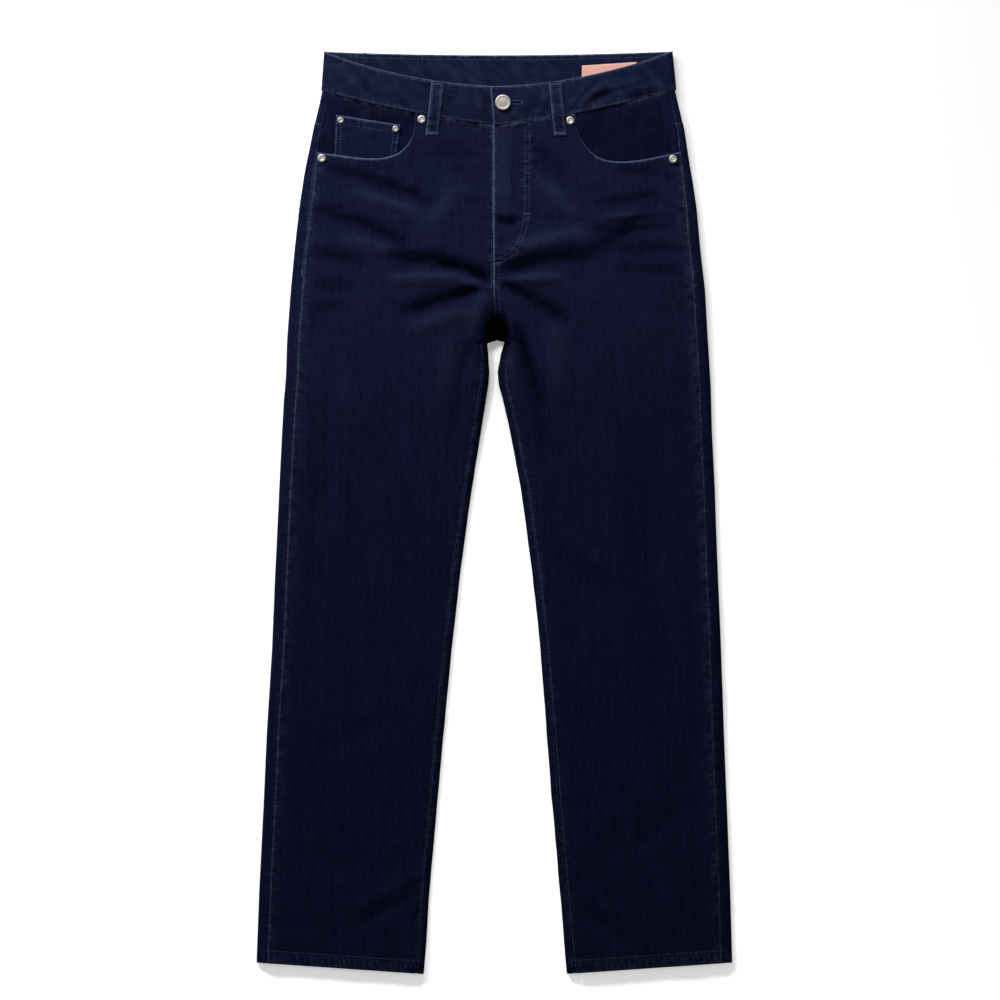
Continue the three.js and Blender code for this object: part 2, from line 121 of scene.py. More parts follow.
def sideSeamX(side, y):
    return sideFold(side, y) - side * mixed(flap["hip"], flap["waist"], eased(120, 250, y))


# The inseam below the crotch and the centre front above it.
def frontInnerX(side, y):
    inseam = innerFold(side, y) + side * flap["inseam"]
    centre = mixed(-1.2 + side * 0.3, -4.5 + (side < 0) * -0.3, eased(6, 50, y))
    return mixed(inseam, centre, eased(-4, 1.5, y))


# Smooth noise on a lattice, the same on every run.
lattice = random.random((256, 256))


def softNoise(x, y, seed=0):
    x = np.asarray(x, float) + seed * 17.31
    y = np.asarray(y, float) + seed * 9.73
    x0, y0 = np.floor(x).astype(int), np.floor(y).astype(int)
    fx, fy = x - x0, y - y0
    fx, fy = fx * fx * (3 - 2 * fx), fy * fy * (3 - 2 * fy)
    a, b = lattice[x0 % 256, y0 % 256], lattice[(x0 + 1) % 256, y0 % 256]
    c, d = lattice[x0 % 256, (y0 + 1) % 256], lattice[(x0 + 1) % 256, (y0 + 1) % 256]
    return 2 * mixed(mixed(a, b, fx), mixed(c, d, fx), fy) - 1


# Creases of the front, each from one point to another: soft troughs (negative) and ridges.
frontCreases = [
    # x1, y1, x2, y2, half width, height
    (-114, 90, -66, 87, 10, -2.0), (-66, 87, -30, 78, 9, -2.6), (-30, 78, -8, 66, 8, -2.6),
    (-110, 66, -40, 68, 9, 1.7), (-34, 62, -14, 58, 7, 1.6), (-100, 30, -60, 44, 9, -1.9),
    (-60, 44, -16, 57, 8, -2.4), (-90, 12, -30, 30, 12, 1.2), (-180, 186, -140, 176, 9, -1.2),
    (-140, 176, -76, 154, 9, -1.5), (-150, 160, -90, 140, 9, 1.1), (-194, 139, -150, 128, 10, -1.2),
    (-150, 128, -104, 107, 9, -1.5), (-170, 112, -120, 100, 10, 0.9), (-200, 96, -150, 84, 9, -0.9),
    (-196, 60, -160, 58, 8, -0.7), (-202, 30, -168, 34, 8, -0.6), (7, 76, 50, 88, 9, -2.4),
    (50, 88, 102, 93, 10, -1.9), (102, 93, 168, 138, 12, -1.3), (20, 100, 92, 118, 10, 1.4),
    (9, 61, 38, 46, 7, -2.3), (38, 46, 76, 22, 9, -1.7), (14, 66, 70, 68, 7, 1.5),
    (120, 150, 176, 158, 7, -0.9), (118, 134, 182, 140, 6, 0.8), (112, 120, 190, 122, 7, -0.8),
    (130, 100, 196, 98, 7, -0.7), (140, 78, 200, 74, 8, -0.7), (136, 186, 188, 178, 7, -0.8),
    (1, 131, 22, 129, 5, -2.6), (24, 12, 36, -28, 8, -2.4), (36, -28, 50, -74, 10, -2.0),
    (13, 26, 22, -60, 6, 1.2), (-19, 46, -36, -64, 8, 1.3), (-5, 60, -16, 30, 4, 0.9),
    (46, -74, 57, -134, 11, -1.3), (62, 10, 74, -60, 13, 1.4), (-22, 8, -34, -36, 9, -1.6),
    (-34, -36, -44, -90, 10, -1.0), (-52, 0, -62, -70, 13, 0.9), (60, -236, 126, -288, 12, -1.1),
    (70, -214, 140, -262, 13, 0.7), (153, -124, 190, -350, 20, -1.5), (118, -120, 150, -330, 20, 1.0),
    (-100, -180, -86, -330, 18, -0.8), (-190, -100, -200, -260, 16, -0.8), (-160, -60, -176, -240, 20, 0.6),
    (-94, -612, -162, -650, 9, -0.8), (-90, -590, -150, -622, 11, 0.8), (96, -628, 140, -664, 9, -0.8),
    (92, -606, 150, -644, 11, 0.8), (-210, -560, -150, -590, 12, -0.6), (200, -520, 150, -560, 12, -0.6),
    (-120, -420, -180, -450, 16, -0.6), (90, -420, 160, -440, 16, -0.5), (-66, 210, -30, 200, 12, -0.6),
    (44, 212, 76, 176, 10, -0.8), (40, 180, 84, 140, 12, 0.7), (-40, 170, -80, 120, 14, 0.6),
]
backCreases = [
    (-170, 20, -60, 8, 10, -1.6), (-60, 8, -10, 24, 9, -1.9), (-150, -6, -50, -20, 11, 1.2),
    (12, 22, 70, 4, 9, -1.9), (70, 4, 168, 18, 10, -1.5), (50, -22, 150, -8, 11, 1.2),
    (-120, -34, -40, -60, 10, -1.1), (36, -58, 124, -36, 10, -1.2), (-200, 150, -120, 190, 10, -0.8),
    (120, 186, 198, 146, 10, -0.8), (-190, -160, -180, -340, 20, -0.9), (170, -150, 190, -330, 20, -0.9),
    (-100, -600, -170, -640, 10, -0.9), (100, -610, 160, -650, 10, -0.9), (-60, -300, -130, -330, 14, -0.8),
    (70, -260, 130, -300, 14, -0.8),
]
creasing = {"high": 1.95, "wide": 0.74, "pastEnds": 0.2}


# Each crease fades out a little past both of its ends.
def creaseHeight(creases, x, y):
    total = np.zeros_like(x)
    past = creasing["pastEnds"]
    for x1, y1, x2, y2, wide, high in creases:
        dx, dy = x2 - x1, y2 - y1
        t = np.clip(((x - x1) * dx + (y - y1) * dy) / (dx * dx + dy * dy), -past, 1 + past)
        away = np.hypot(x - x1 - t * dx, y - y1 - t * dy)
        fading = 1 - ((t - 0.5) / (0.5 + past)) ** 2
        total += creasing["high"] * high * fading * bell(away, creasing["wide"] * wide)
    return total


def softRelief(x, y, seed):
    broad = 0.55 * softNoise(x / 62, y / 95, seed) + 0.32 * softNoise(x / 27, y / 33, seed + 1)
    fine = 0.13 * softNoise(x / 9.5, y / 12, seed + 2)
    return broad + fine


# How far the front sinks as it nears a leg's folds.
def foldDrop(x, y):
    outer = np.where(x < 0, x - sideFold(rightLeg, y), sideFold(leftLeg, y) - x)
    inner = np.where(x < 0, innerFold(rightLeg, y) - x, x - innerFold(leftLeg, y))
    onSide = 2.2 * bell(outer, 7.5) * (1 - 0.6 * eased(180, 230, y))
    return onSide + 2.4 * bell(inner, 8.5) * (1 - eased(-25, 0, y))


def wrinkles(x, y):
    hips = 0.50 * softNoise(x / 23, (y + 0.15 * np.abs(x)) / 7.0, 101)
    hips = hips + 0.22 * softNoise(x / 10, y / 4.4, 103)
    shins = 0.16 * softNoise(x / 7.5, y / 40, 105) + 0.22 * softNoise(x / 20, y / 15, 107)
    return mixed(shins, hips, eased(-60, 100, y))


# Outer face of the front cloth, without what its edges and seams add.
def frontFace(x, y):
    gap = np.interp(y, level["y"], level["gap"])
    rise = creaseHeight(frontCreases, x, y) + softRelief(x, y, 3) + wrinkles(x, y) - foldDrop(x, y)
    hollow = 7.0 * bell(x, 10.5) * bell(y - 12, 18)
    return underZ(y) + 2 * garment["cloth"] + np.maximum(0.8, gap + rise - hollow)


def plainFace(y):
    return frontFace(y * 0 + level["beyondX"], y)


# Shares of the way across a piece, closer together at both of its edges.
def spacing(length, pitch):
    fine = [0, 0.35, 1.0, 2.0]
    count = max(2, round((length - 4) / pitch))
    middle = np.linspace(2.0, length - 2.0, count + 1)[1:-1]
    return np.concatenate([fine, middle, [length - d for d in reversed(fine)]]) / length


# A grid with its columns and rows at the given shares. Returns its bmesh and each vertex's u and v.
def clothGrid(across, down):
    bm = bmesh.new()
    bmesh.ops.create_grid(bm, x_segments=len(across) - 1, y_segments=len(down) - 1, size=1)
    flat = np.array([v.co[:] for v in bm.verts])
    i = (flat[:, 0] + 1) / 2 * (len(across) - 1)
    j = (1 - flat[:, 1]) / 2 * (len(down) - 1)
    return bm, np.interp(i, range(len(across)), across), np.interp(j, range(len(down)), down)


def sheetGrid(cloth):
    acrossPitch, downPitch = (cloth.get(key) or cloth["pitch"] for key in ("acrossPitch", "downPitch"))
    return clothGrid(spacing(cloth["wide"], acrossPitch), spacing(cloth["long"], downPitch))


def toWorld(x, y, z):
    return np.stack([x + garment["shiftX"], y + garment["shiftY"], z], axis=-1) / 1000


# Moves the grid to its place and thickens it. Stores at each point its edge wear and painted highlight, its
# painted shade, how much the seams pucker it, and the way its grain runs.
def finishCloth(name, bm, place, wearAndHighlight, grain, slot="denim", wall=None, flip=False, paintedShade=None, ticks=None):
    for vert, spot in zip(bm.verts, toWorld(*place)):
        vert.co = spot
    if flip:
        bmesh.ops.reverse_faces(bm, faces=bm.faces[:])
    wearHighlightLayer = bm.verts.layers.float.new("wearAndHighlight")
    # painted shade: how far the colour is darkened towards near black
    paintedShadeLayer = bm.verts.layers.float.new("paintedShade")
    tickLayer = bm.verts.layers.float_vector.new("ticks")
    grainLayer = bm.loops.layers.uv.new("grain")
    bm.verts.index_update()
    for k, vert in enumerate(bm.verts):
        vert[wearHighlightLayer] = float(wearAndHighlight[k])
        vert[paintedShadeLayer] = 0.0 if paintedShade is None else float(paintedShade[k])
        vert[tickLayer] = (0, 0, 0) if ticks is None else (float(ticks[0][k]), float(ticks[1][k]), 0)
    for face in bm.faces:
        for loop in face.loops:
            k = loop.vert.index
            loop[grainLayer].uv = (grain[0][k] / 1000, grain[1][k] / 1000)
        face.smooth = True
    return clothObject(name, bm, slot, wall)


def newObject(name, bm):
    mesh = bpy.data.meshes.new(name)
    bm.to_mesh(mesh)
    bm.free()
    piece = bpy.data.objects.new(name, mesh)
    bpy.context.collection.objects.link(piece)
    return piece


def clothObject(name, bm, slot, wall):
    piece = newObject(name, bm)
    thick = piece.modifiers.new("wall", "SOLIDIFY")
    thick.thickness = wall / 1000
    thick.offset = -1
    thick.use_even_offset = False
    applyModifiers(piece)
    piece.data.shade_smooth()
    piece.data.materials.append(finishes[slot])
    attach(piece, "root")
    return piece


def applyModifiers(piece):
    bpy.context.view_layer.update()
    solid = bpy.data.meshes.new_from_object(piece.evaluated_get(bpy.context.evaluated_depsgraph_get()))
    old = piece.data
    piece.modifiers.clear()
    piece.data = solid
    solid.name = piece.name
    bpy.data.meshes.remove(old)


def edgeRoll(d):
    return -0.55 * bell(d, 0.62)


def edgeWear(d, wide=0.8):
    return bell(d, wide)


# Puckers across a seam: d is the distance from it, s the way along it.
def pucker(d, s, seed, reach=8.0, size=0.26):
    return 2.1 * size * softNoise((s + 0.6 * d) / 5.2, 0.5 + 0.1 * d, seed) * bell(d, reach)


# The slanting twist that a turned-up hem takes on.
def ropeTwist(x, y):
    return np.sin((x * 0.94 + y * 0.34) / 0.92 + softNoise(x / 22, y / 30, 5) * 4)


def reachAlong(line):
    return np.concatenate([[0], np.cumsum(np.linalg.norm(np.diff(line, axis=0), axis=1))])


print("materials")


# Sets a node's inputs, by name or number, to values or to links from other nodes' outputs.
def feed(tree, node, inputs):
    for key, value in inputs.items():
        if isinstance(value, bpy.types.NodeSocket):
            tree.links.new(value, node.inputs[key])
        else:
            node.inputs[key].default_value = value


def addNode(tree, kind, x, y, inputs=None, **values):
    node = tree.nodes.new(kind)
    node.location = (x, y)
    for key, value in values.items():
        setattr(node, key, value)
    feed(tree, node, inputs or {})
    return node


def mathNode(tree, x, y, operation, *values, clamp=False):
    inputs = dict(enumerate(values))
    return addNode(tree, "ShaderNodeMath", x, y, inputs, operation=operation, use_clamp=clamp).outputs[0]


def noiseNode(tree, x, y, vector, **settings):
    return addNode(tree, "ShaderNodeTexNoise", x, y, dict(settings, Vector=vector)).outputs["Fac"]


def mappingNode(tree, x, y, vector, **settings):
    return addNode(tree, "ShaderNodeMapping", x, y, dict(settings, Vector=vector)).outputs["Vector"]


def rangeNode(tree, x, y, value, fromMin=0, fromMax=1, toMin=0, toMax=1):
    inputs = {"Value": value, "From Min": fromMin, "From Max": fromMax, "To Min": toMin, "To Max": toMax}
    return addNode(tree, "ShaderNodeMapRange", x, y, inputs).outputs[0]


def colourMix(tree, x, y, a, b, share):
    inputs = {"Factor": share, 6: a, 7: b}
    return addNode(tree, "ShaderNodeMix", x, y, inputs, data_type="RGBA").outputs[2]


def bumpNode(tree, x, y, height, strength, distance):
    inputs = {"Height": height, "Strength": strength, "Distance": distance}
    return addNode(tree, "ShaderNodeBump", x, y, inputs).outputs["Normal"]


def separateNode(tree, x, y, vector):
    return addNode(tree, "ShaderNodeSeparateXYZ", x, y, {0: vector}).outputs


def lengthNode(tree, x, y, vector):
    return addNode(tree, "ShaderNodeVectorMath", x, y, {0: vector}, operation="LENGTH").outputs["Value"]


def objectPlace(tree, x, y):
    return addNode(tree, "ShaderNodeTexCoord", x, y).outputs["Object"]


def grainMap(tree, x, y):
    return addNode(tree, "ShaderNodeUVMap", x, y, uv_map="grain").outputs[0]


def storedValue(tree, x, y, name, output):
    return addNode(tree, "ShaderNodeAttribute", x, y, attribute_name=name).outputs[output]


def newGroup(name, inputs, outputs):
    group = bpy.data.node_groups.new(name, "ShaderNodeTree")
    for label, kind in inputs.items():
        group.interface.new_socket(label, in_out="INPUT", socket_type=kind)
    for label in outputs:
        group.interface.new_socket(label, in_out="OUTPUT", socket_type="NodeSocketFloat")
    return group, addNode(group, "NodeGroupInput", -900, 0).outputs, addNode(group, "NodeGroupOutput", 900, 0)


# Twill lines, warp streaks and soft mottling of indigo cloth, from the cloth's own grain map.
def denimWeaveGroup():
    given = {"Grain": "NodeSocketVector", "Twill Pitch": "NodeSocketFloat"}
    group, start, end = newGroup("denimWeave", given, ["Streak", "Mottle", "Twill", "Height"])
    streaks = []
    for k, scale in enumerate([(760, 70, 1), (1500, 420, 1), (230, 14, 1)]):
        stretched = mappingNode(group, -700, 300 - 250 * k, start["Grain"], Scale=scale)
        streaks.append(noiseNode(group, -500, 300 - 250 * k, stretched, Scale=1, Detail=2, Roughness=0.55))
    thin = mathNode(group, -250, 100, "MULTIPLY", streaks[1], 0.25)
    usual = mathNode(group, -50, 250, "MULTIPLY_ADD", streaks[0], 0.5, thin)
    streak = mathNode(group, 150, 150, "MULTIPLY_ADD", streaks[2], 0.25, usual)
    # twill: a wave across lines that climb to the right
    along = separateNode(group, -700, -600, start["Grain"])
    climb = mathNode(group, -500, -600, "MULTIPLY_ADD", along["Y"], -0.62, along["X"])
    turns = mathNode(group, -300, -600, "DIVIDE", climb, start["Twill Pitch"])
    wave = mathNode(group, 100, -600, "SINE", mathNode(group, -100, -600, "MULTIPLY", turns, 2 * math.pi))
    ridge = rangeNode(group, 300, -600, wave, fromMin=-1)
    feed(group, end, {
        "Streak": streak,
        "Mottle": noiseNode(group, -300, -350, start["Grain"], Scale=38, Detail=3),
        "Twill": ridge,
        "Height": mathNode(group, 600, -200, "MULTIPLY_ADD", ridge, 0.45, streak),
    })
    return group


# Turns the stored edge wear and painted highlight into a broken, pale mask.
def wearAndHighlightMaskGroup():
    given = {"WearAndHighlight": "NodeSocketFloat", "Grain": "NodeSocketVector"}
    group, start, end = newGroup("wearAndHighlightMask", given, ["Mask"])
    noise = noiseNode(group, -600, -150, start["Grain"], Scale=260, Detail=4)
    broken = rangeNode(group, -300, -150, noise, fromMin=0.25, fromMax=0.65, toMin=0.35)
    feed(group, end, {"Mask": mathNode(group, 0, 0, "MULTIPLY", start["WearAndHighlight"], broken, clamp=True)})
    return group


# Short puckers that stand across a seam. Ticks holds their strength on level seams (X) and upright ones (Y).
def seamTickGroup():
    given = {"Place": "NodeSocketVector", "Ticks": "NodeSocketVector"}
    group, start, end = newGroup("seamTicks", given, ["Height"])
    strength = separateNode(group, -300, -300, start["Ticks"])
    parts = []
    for k, (scale, lean) in enumerate([((300, 95, 1), 0.22), ((95, 300, 1), -0.22)]):
        y = 250 - 300 * k
        stretched = mappingNode(group, -700, y, start["Place"], Scale=scale, Rotation=(0, 0, lean))
        noise = noiseNode(group, -500, y, stretched, Scale=1, Detail=1)
        centred = mathNode(group, -250, y, "SUBTRACT", noise, 0.5)
        parts.append(mathNode(group, 0, y, "MULTIPLY", centred, strength[k]))
    both = mathNode(group, 250, 0, "ADD", *parts)
    feed(group, end, {"Height": mathNode(group, 450, 0, "MULTIPLY", both, 4.2)})
    return group


weaveGroup = denimWeaveGroup()
tickGroup = seamTickGroup()
wearHighlightMaskGroup = wearAndHighlightMaskGroup()
twillPitch = 0.0011


def newMaterial(name):
    material = bpy.data.materials.new(name)
    material.use_nodes = True
    return material, material.node_tree, material.node_tree.nodes["Principled BSDF"]


def denimFinish(name, look):
    material, tree, shader = newMaterial(name)
    grain = grainMap(tree, -1400, 0)
    wearAndHighlight = storedValue(tree, -1400, -300, "wearAndHighlight", "Fac")
    ticks = storedValue(tree, -1400, -900, "ticks", "Vector")
    paintedShade = storedValue(tree, -1400, -500, "paintedShade", "Fac")
    weave = addNode(tree, "ShaderNodeGroup", -1100, 0, node_tree=weaveGroup)
    feed(tree, weave, {"Grain": grain, "Twill Pitch": twillPitch})
    wearHighlightMask = addNode(tree, "ShaderNodeGroup", -1100, -300, node_tree=wearHighlightMaskGroup)
    feed(tree, wearHighlightMask, {"Grain": grain, "WearAndHighlight": wearAndHighlight})
    puckers = addNode(tree, "ShaderNodeGroup", -1100, -800, node_tree=tickGroup)
    feed(tree, puckers, {"Place": objectPlace(tree, -1400, -700), "Ticks": ticks})
    streak, height = weave.outputs["Streak"], puckers.outputs["Height"]
    strength = rangeNode(tree, -800, 150, streak, fromMin=0.5 - look["spread"], fromMax=0.5 + look["spread"])
    cloud = rangeNode(tree, -800, -80, weave.outputs["Mottle"], fromMin=0.3, fromMax=0.7, toMax=0.35)
    lines = mathNode(tree, -600, -200, "MULTIPLY", weave.outputs["Twill"], 0.30)
    # the paleness: seam puckers, edge wear, and painted highlight on crease ridges, the fly and the band
    paleness = mathNode(tree, -800, -800, "MULTIPLY_ADD", height, 0.13, wearHighlightMask.outputs["Mask"], clamp=True)
    warp = colourMix(tree, -600, 150, look["deep"], look["warp"], strength)
    mottled = colourMix(tree, -420, 100, warp, look["cloud"], cloud)
    twilled = colourMix(tree, -260, 100, mottled, look["weft"], lines)
    faded = colourMix(tree, -100, 100, twilled, look["pale"], paleness)
    relief = mathNode(tree, -600, -650, "ADD", weave.outputs["Height"], height)
    feed(tree, shader, {
        # painted shade: the colour darkens towards near black where the stored painted shade is
        "Base Color": colourMix(tree, 60, 100, faded, look["paintedShadeColour"], paintedShade),
        "Roughness": rangeNode(tree, -300, -350, streak, toMin=0.82, toMax=0.96),
        "Normal": bumpNode(tree, -300, -600, relief, 0.7, 0.00035),
        "Specular IOR Level": 0.005,
    })
    return material


def nickelFinish():
    material, tree, shader = newMaterial("dull nickel")
    noise = noiseNode(tree, -700, 0, objectPlace(tree, -900, 0), Scale=900, Detail=5)
    feed(tree, shader, {
        "Base Color": colourMix(tree, -400, 100, (0.20, 0.19, 0.17, 1), (0.36, 0.35, 0.32, 1), noise),
        "Roughness": rangeNode(tree, -400, -150, noise, toMin=0.36, toMax=0.6),
        "Normal": bumpNode(tree, -400, -400, noise, 0.15, 0.0001),
        "Metallic": 1,
    })
    return material


def ribbonFinish():
    material, tree, shader = newMaterial("coral ribbon")
    weft = mappingNode(tree, -800, 0, grainMap(tree, -1000, 0), Scale=(300, 2600, 1))
    noise = noiseNode(tree, -600, 0, weft, Scale=1)
    feed(tree, shader, {
        "Base Color": colourMix(tree, -300, 100, (0.42, 0.20, 0.155, 1), (0.58, 0.33, 0.27, 1), noise),
        "Normal": bumpNode(tree, -300, -300, noise, 0.5, 0.0002),
        "Roughness": 0.6,
        "Specular IOR Level": 0.3,
    })
    return material


def threadFinish():
    material, tree, shader = newMaterial("navy thread")
    noise = noiseNode(tree, -700, 0, objectPlace(tree, -900, 0), Scale=1500)
    feed(tree, shader, {
        "Base Color": colourMix(tree, -400, 100, (0.020, 0.026, 0.062, 1), (0.046, 0.058, 0.118, 1), noise),
        "Roughness": 0.6,
        "Specular IOR Level": 0.12,
    })
    return material


outerLook = {
    "deep": (0.0015, 0.0020, 0.0100, 1),
    "warp": (0.0066, 0.0084, 0.0310, 1),
    "cloud": (0.0046, 0.0060, 0.0225, 1),
    "weft": (0.0088, 0.0112, 0.0330, 1),
    "pale": (0.070, 0.092, 0.165, 1),
    # near black, the colour of painted shade
    "paintedShadeColour": (0.0002, 0.0002, 0.0006, 1),
    "spread": 0.12,
}
bandLook = dict(
    outerLook,
    deep=(0.0022, 0.0031, 0.0120, 1),
    warp=(0.0072, 0.0098, 0.0310, 1),
    cloud=(0.0052, 0.0072, 0.0240, 1),
    spread=0.15,
)
finishes = {
    "denim": denimFinish("indigo denim", outerLook),
    "bandDenim": denimFinish("waistband denim", bandLook),
    "nickel": nickelFinish(),
    "ribbon": ribbonFinish(),
    "thread": threadFinish(),
}

print("fronts")
mouths = {
    rightLeg: [(-89.9, 249), (-90.9, 231), (-97.2, 215.6), (-109.1, 204.7), (-125.5, 199.8), (-143.8, 199.2),
               (-164, 201.3), (-197, 205.8)],
    leftLeg: [(85.5, 248.2), (90.2, 226.6), (98.7, 211.4), (112, 200.1), (130.9, 195.8), (151.8, 196.7),
              (171, 199.8), (200, 206)],
}


# A smooth line through the given points, with a point every step millimetres.
def smoothLine(points, step=1.0):
    p = np.array(points, float)
    ends = np.vstack([2 * p[0] - p[1], p, 2 * p[-1] - p[-2]])
    line = []
    for a, b, c, d in zip(ends, ends[1:], ends[2:], ends[3:]):
        for t in np.linspace(0, 1, 12, endpoint=False):
            line.append(0.5 * (2 * b + (c - a) * t + (2 * a - 5 * b + 4 * c - d) * t * t
                               + (3 * b - a - 3 * c + d) * t ** 3))
    line = np.array(line + [p[-1]])
    reach = reachAlong(line)
    at = np.linspace(0, reach[-1], max(2, round(reach[-1] / step) + 1))
    return np.stack([np.interp(at, reach, line[:, k]) for k in range(line.shape[1])], axis=1)


def mouthLine(side):
    line = smoothLine(mouths[side])
    line[-1, 0] = sideSeamX(side, 205) - side * garment["seamGap"]
    return line


def seamLine(curve, fromX, toX, step=4):
    x = np.linspace(fromX, toX, max(2, int(abs(toX - fromX) / step)))
    return np.stack([x, curve(x)], axis=1)


# Where little light reaches: the hollow at the crotch, and the sides of the legs that turn from the lamp.
def crotchShade(x, y):
    return 1.3 * np.exp(-((((x - 0.5) / 16) ** 2 + ((y - 9) / 23) ** 2) ** 1.7))


foldShades = {rightLeg: {"inner": 0.85, "outer": 0.1}, leftLeg: {"inner": 0.45, "outer": 0.45}}


def foldShade(side, x, y):
    strong = foldShades[side]
    reach = mixed(2.5, 8.5, eased(-260, -20, y))
    onInner = strong["inner"] * bell(x - innerFold(side, y), reach) * (1 - eased(-14, 8, y))
    return onInner + strong["outer"] * bell(x - sideFold(side, y), 2.6)


# The fly's curved topstitching, the given distance inside its outer row.
def flyRow(gap, topY):
    return [(36 - gap, topY), (35.6 - gap, 190), (35.2 - gap, 140), (32.6 - gap, 124),
            (26.4 - gap * 0.9, 106 + gap * 0.25), (17.4 - gap * 0.6, 93 + gap * 0.7),
            (8 - gap * 0.3, 86.5 + gap), (-2.5, 83 + gap)]


flyStep = 2.0
flyCurve = smoothLine(flyRow(0, 240), flyStep)


# Signed distance from the fly's stitched curve (negative towards the centre) and the way along it.
def flyDistance(x, y):
    best, along = np.full(x.shape, 1e9), np.zeros_like(x)
    for k, (a, b) in enumerate(zip(flyCurve, flyCurve[1:])):
        d, e = b - a, np.stack([x - a[0], y - a[1]], axis=-1)
        t = np.clip(e @ d / (d @ d), 0, 1)
        away = np.hypot(e[:, 0] - t * d[0], e[:, 1] - t * d[1])
        sign = np.sign(e[:, 0] * -d[1] + e[:, 1] * d[0])
        nearer = away < np.abs(best)
        best, along = np.where(nearer, away * sign, best), np.where(nearer, flyStep * (k + t), along)
    return best, along


# Above the split the rows bend up to the waist and the pocket mouth; topShare of them lie there.
frontCloth = {"wide": 222, "long": 930, "pitch": 2.7, "split": 118, "topShare": 0.135, "lowest": -706.0,
              "waistRow": 240, "farAway": 99}


def frontPiece(side):
    split, share, far = frontCloth["split"], frontCloth["topShare"], frontCloth["farAway"]
    gap = garment["seamGap"]
    waistX, splitX = frontInnerX(side, frontCloth["waistRow"]), frontInnerX(side, split)
    seam = seamLine(lambda x: frontSeamY(x) - gap, waistX, mouths[side][0][0])
    topLine = np.vstack([seam, mouthLine(side)[1:]])
    run = reachAlong(topLine)
    bm, u, v = sheetGrid(frontCloth)
    topX, topY = (np.interp(u * run[-1], run, topLine[:, k]) for k in (0, 1))
    w = np.clip(v / share, 0, 1)
    t = np.clip((v - share) / (1 - share), 0, 1)
    lowX = mixed(splitX, sideSeamX(side, split) - side * gap, u)
    x, y = mixed(topX, lowX, w), mixed(topY, split, w)
    x = np.where(w < 1, x + (frontInnerX(side, y) - mixed(waistX, splitX, w)) * np.clip(1 - u * 14, 0, 1), x)
    legRow = mixed(split, frontCloth["lowest"], t)
    legX = mixed(frontInnerX(side, legRow) + side * gap, sideSeamX(side, legRow) - side * gap, u)
    legY = mixed(split, hemY(side, legX), t)
    onLeg = t > 0
    x, y = np.where(onLeg, legX, x), np.where(onLeg, legY, y)
    width = np.where(onLeg, np.abs(sideSeamX(side, y) - frontInnerX(side, y)), run[-1])
    inner, outer = u * width, (1 - u) * width
    fromTop = np.where(onLeg, far, w * np.hypot(topX - lowX, topY - split))
    fromHem = np.where(onLeg, y - hemY(side, x), far)
    onMouth = u * run[-1] > abs(mouths[side][0][0]) - 3
    rope = ropeTwist(x, y)
    creased = creaseHeight(frontCreases, x, y)
    nearFly, alongFly = flyDistance(x, y)

    z = frontFace(x, y) + edgeRoll(inner) + edgeRoll(outer) + edgeRoll(fromTop) + edgeRoll(fromHem)
    z += pucker(outer, y, 21 + side, 7) + pucker(inner, y, 31 + side, 6, 0.3)
    z += pucker(fromTop, u * run[-1], 41 + side, 7, np.where(onMouth, 0.22, 0.3))
    z += 0.34 * bell(fromHem - 7, 6.5) * (1 + 1.5 * rope) - 0.5 * bell(fromHem - 14.6, 1.6)
    z += 0.45 * bell(outer - 3, 4) * (y < 205)
    if side > 0:  # the fly's extra cloth and the zip under it
        crumple = softNoise((alongFly + 0.7 * nearFly) / 4.6, 0.5 + nearFly * 0.05, 77)
        z += 0.95 * crumple * bell(nearFly + 2, 7.5)
        z -= 0.45 * bell(np.abs(nearFly + 2.5) - 2.5, 1.2)
        z += eased(96, 140, y) * (0.75 * (1 - eased(11, 16, x)) + 0.55 * (1 - eased(34, 41, x)))
    else:
        z -= eased(90, 130, y) * 0.5 * (1 - eased(0, 9, inner))

    # painted shade: the crotch hollow, leg folds turned from the lamp, crease troughs, and a painted shadow
    # line under the band
    paintedShade = crotchShade(x, y) + foldShade(side, x, y) + 0.19 * np.clip(-creased, 0, 5) * eased(-260, 40, y)
    paintedShade += 0.28 * bell(fromTop - 3.4, 1.5) * ~onMouth
    nearCrotch = np.minimum(1, 1.7 * bell(y - 6, 32))
    flyEdge = (0.85 if side > 0 else 0.2) * edgeWear(inner, 1.25) * eased(40, 60, y)
    wearAndHighlight = 1.1 * edgeWear(fromTop, 1.1) * onMouth + 0.30 * edgeWear(fromTop) * ~onMouth
    wearAndHighlight += 0.55 * edgeWear(outer) + (flyEdge + 0.26 * edgeWear(inner)) * (1 - nearCrotch)
    wearAndHighlight += (0.45 + 0.3 * rope) * edgeWear(fromHem, 1.6) + 0.16 * np.clip(rope, 0, 1) * bell(fromHem - 7, 5)
    # painted highlight on the crease ridges of the hips and on the raised strip of the fly
    wearAndHighlight += 0.09 * eased(-0.4, 1.6, creased) * eased(-160, 120, y)
    wearAndHighlight += 0.07 * eased(110, 150, y) * (np.abs(x - 6) < 9) * (side > 0)
    wearAndHighlight += 0.08 * np.abs(pucker(outer, y, 21 + side, 9, 1.0)) * (y < 190)
    levelTicks = bell(fromTop, 7) * (0.75 + 0.25 * onMouth) + bell(fromHem - 6, 7, 4)
    uprightTicks = 0.9 * bell(outer, 5.5) + 0.9 * bell(inner, 5.5) * np.clip(1.2 - nearCrotch, 0, 1)
    if side > 0:
        uprightTicks += 1.3 * bell(nearFly + 2.5, 6) + 1.1 * (y < 92) * (y > 22) * bell(x - 3, 4.5)
    piece = finishCloth(sided("denim_front", side), bm, (x, y, z), wearAndHighlight, (x, y), wall=garment["wall"],
                        flip=side < 0, paintedShade=np.clip(paintedShade, 0, 1), ticks=(levelTicks, uprightTicks))
    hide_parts(sided("front", side))
    return piece


fronts = {side: frontPiece(side) for side in legs}

print("backs and yokes")
backMeet = 0.2  # how far each back ends from the centre


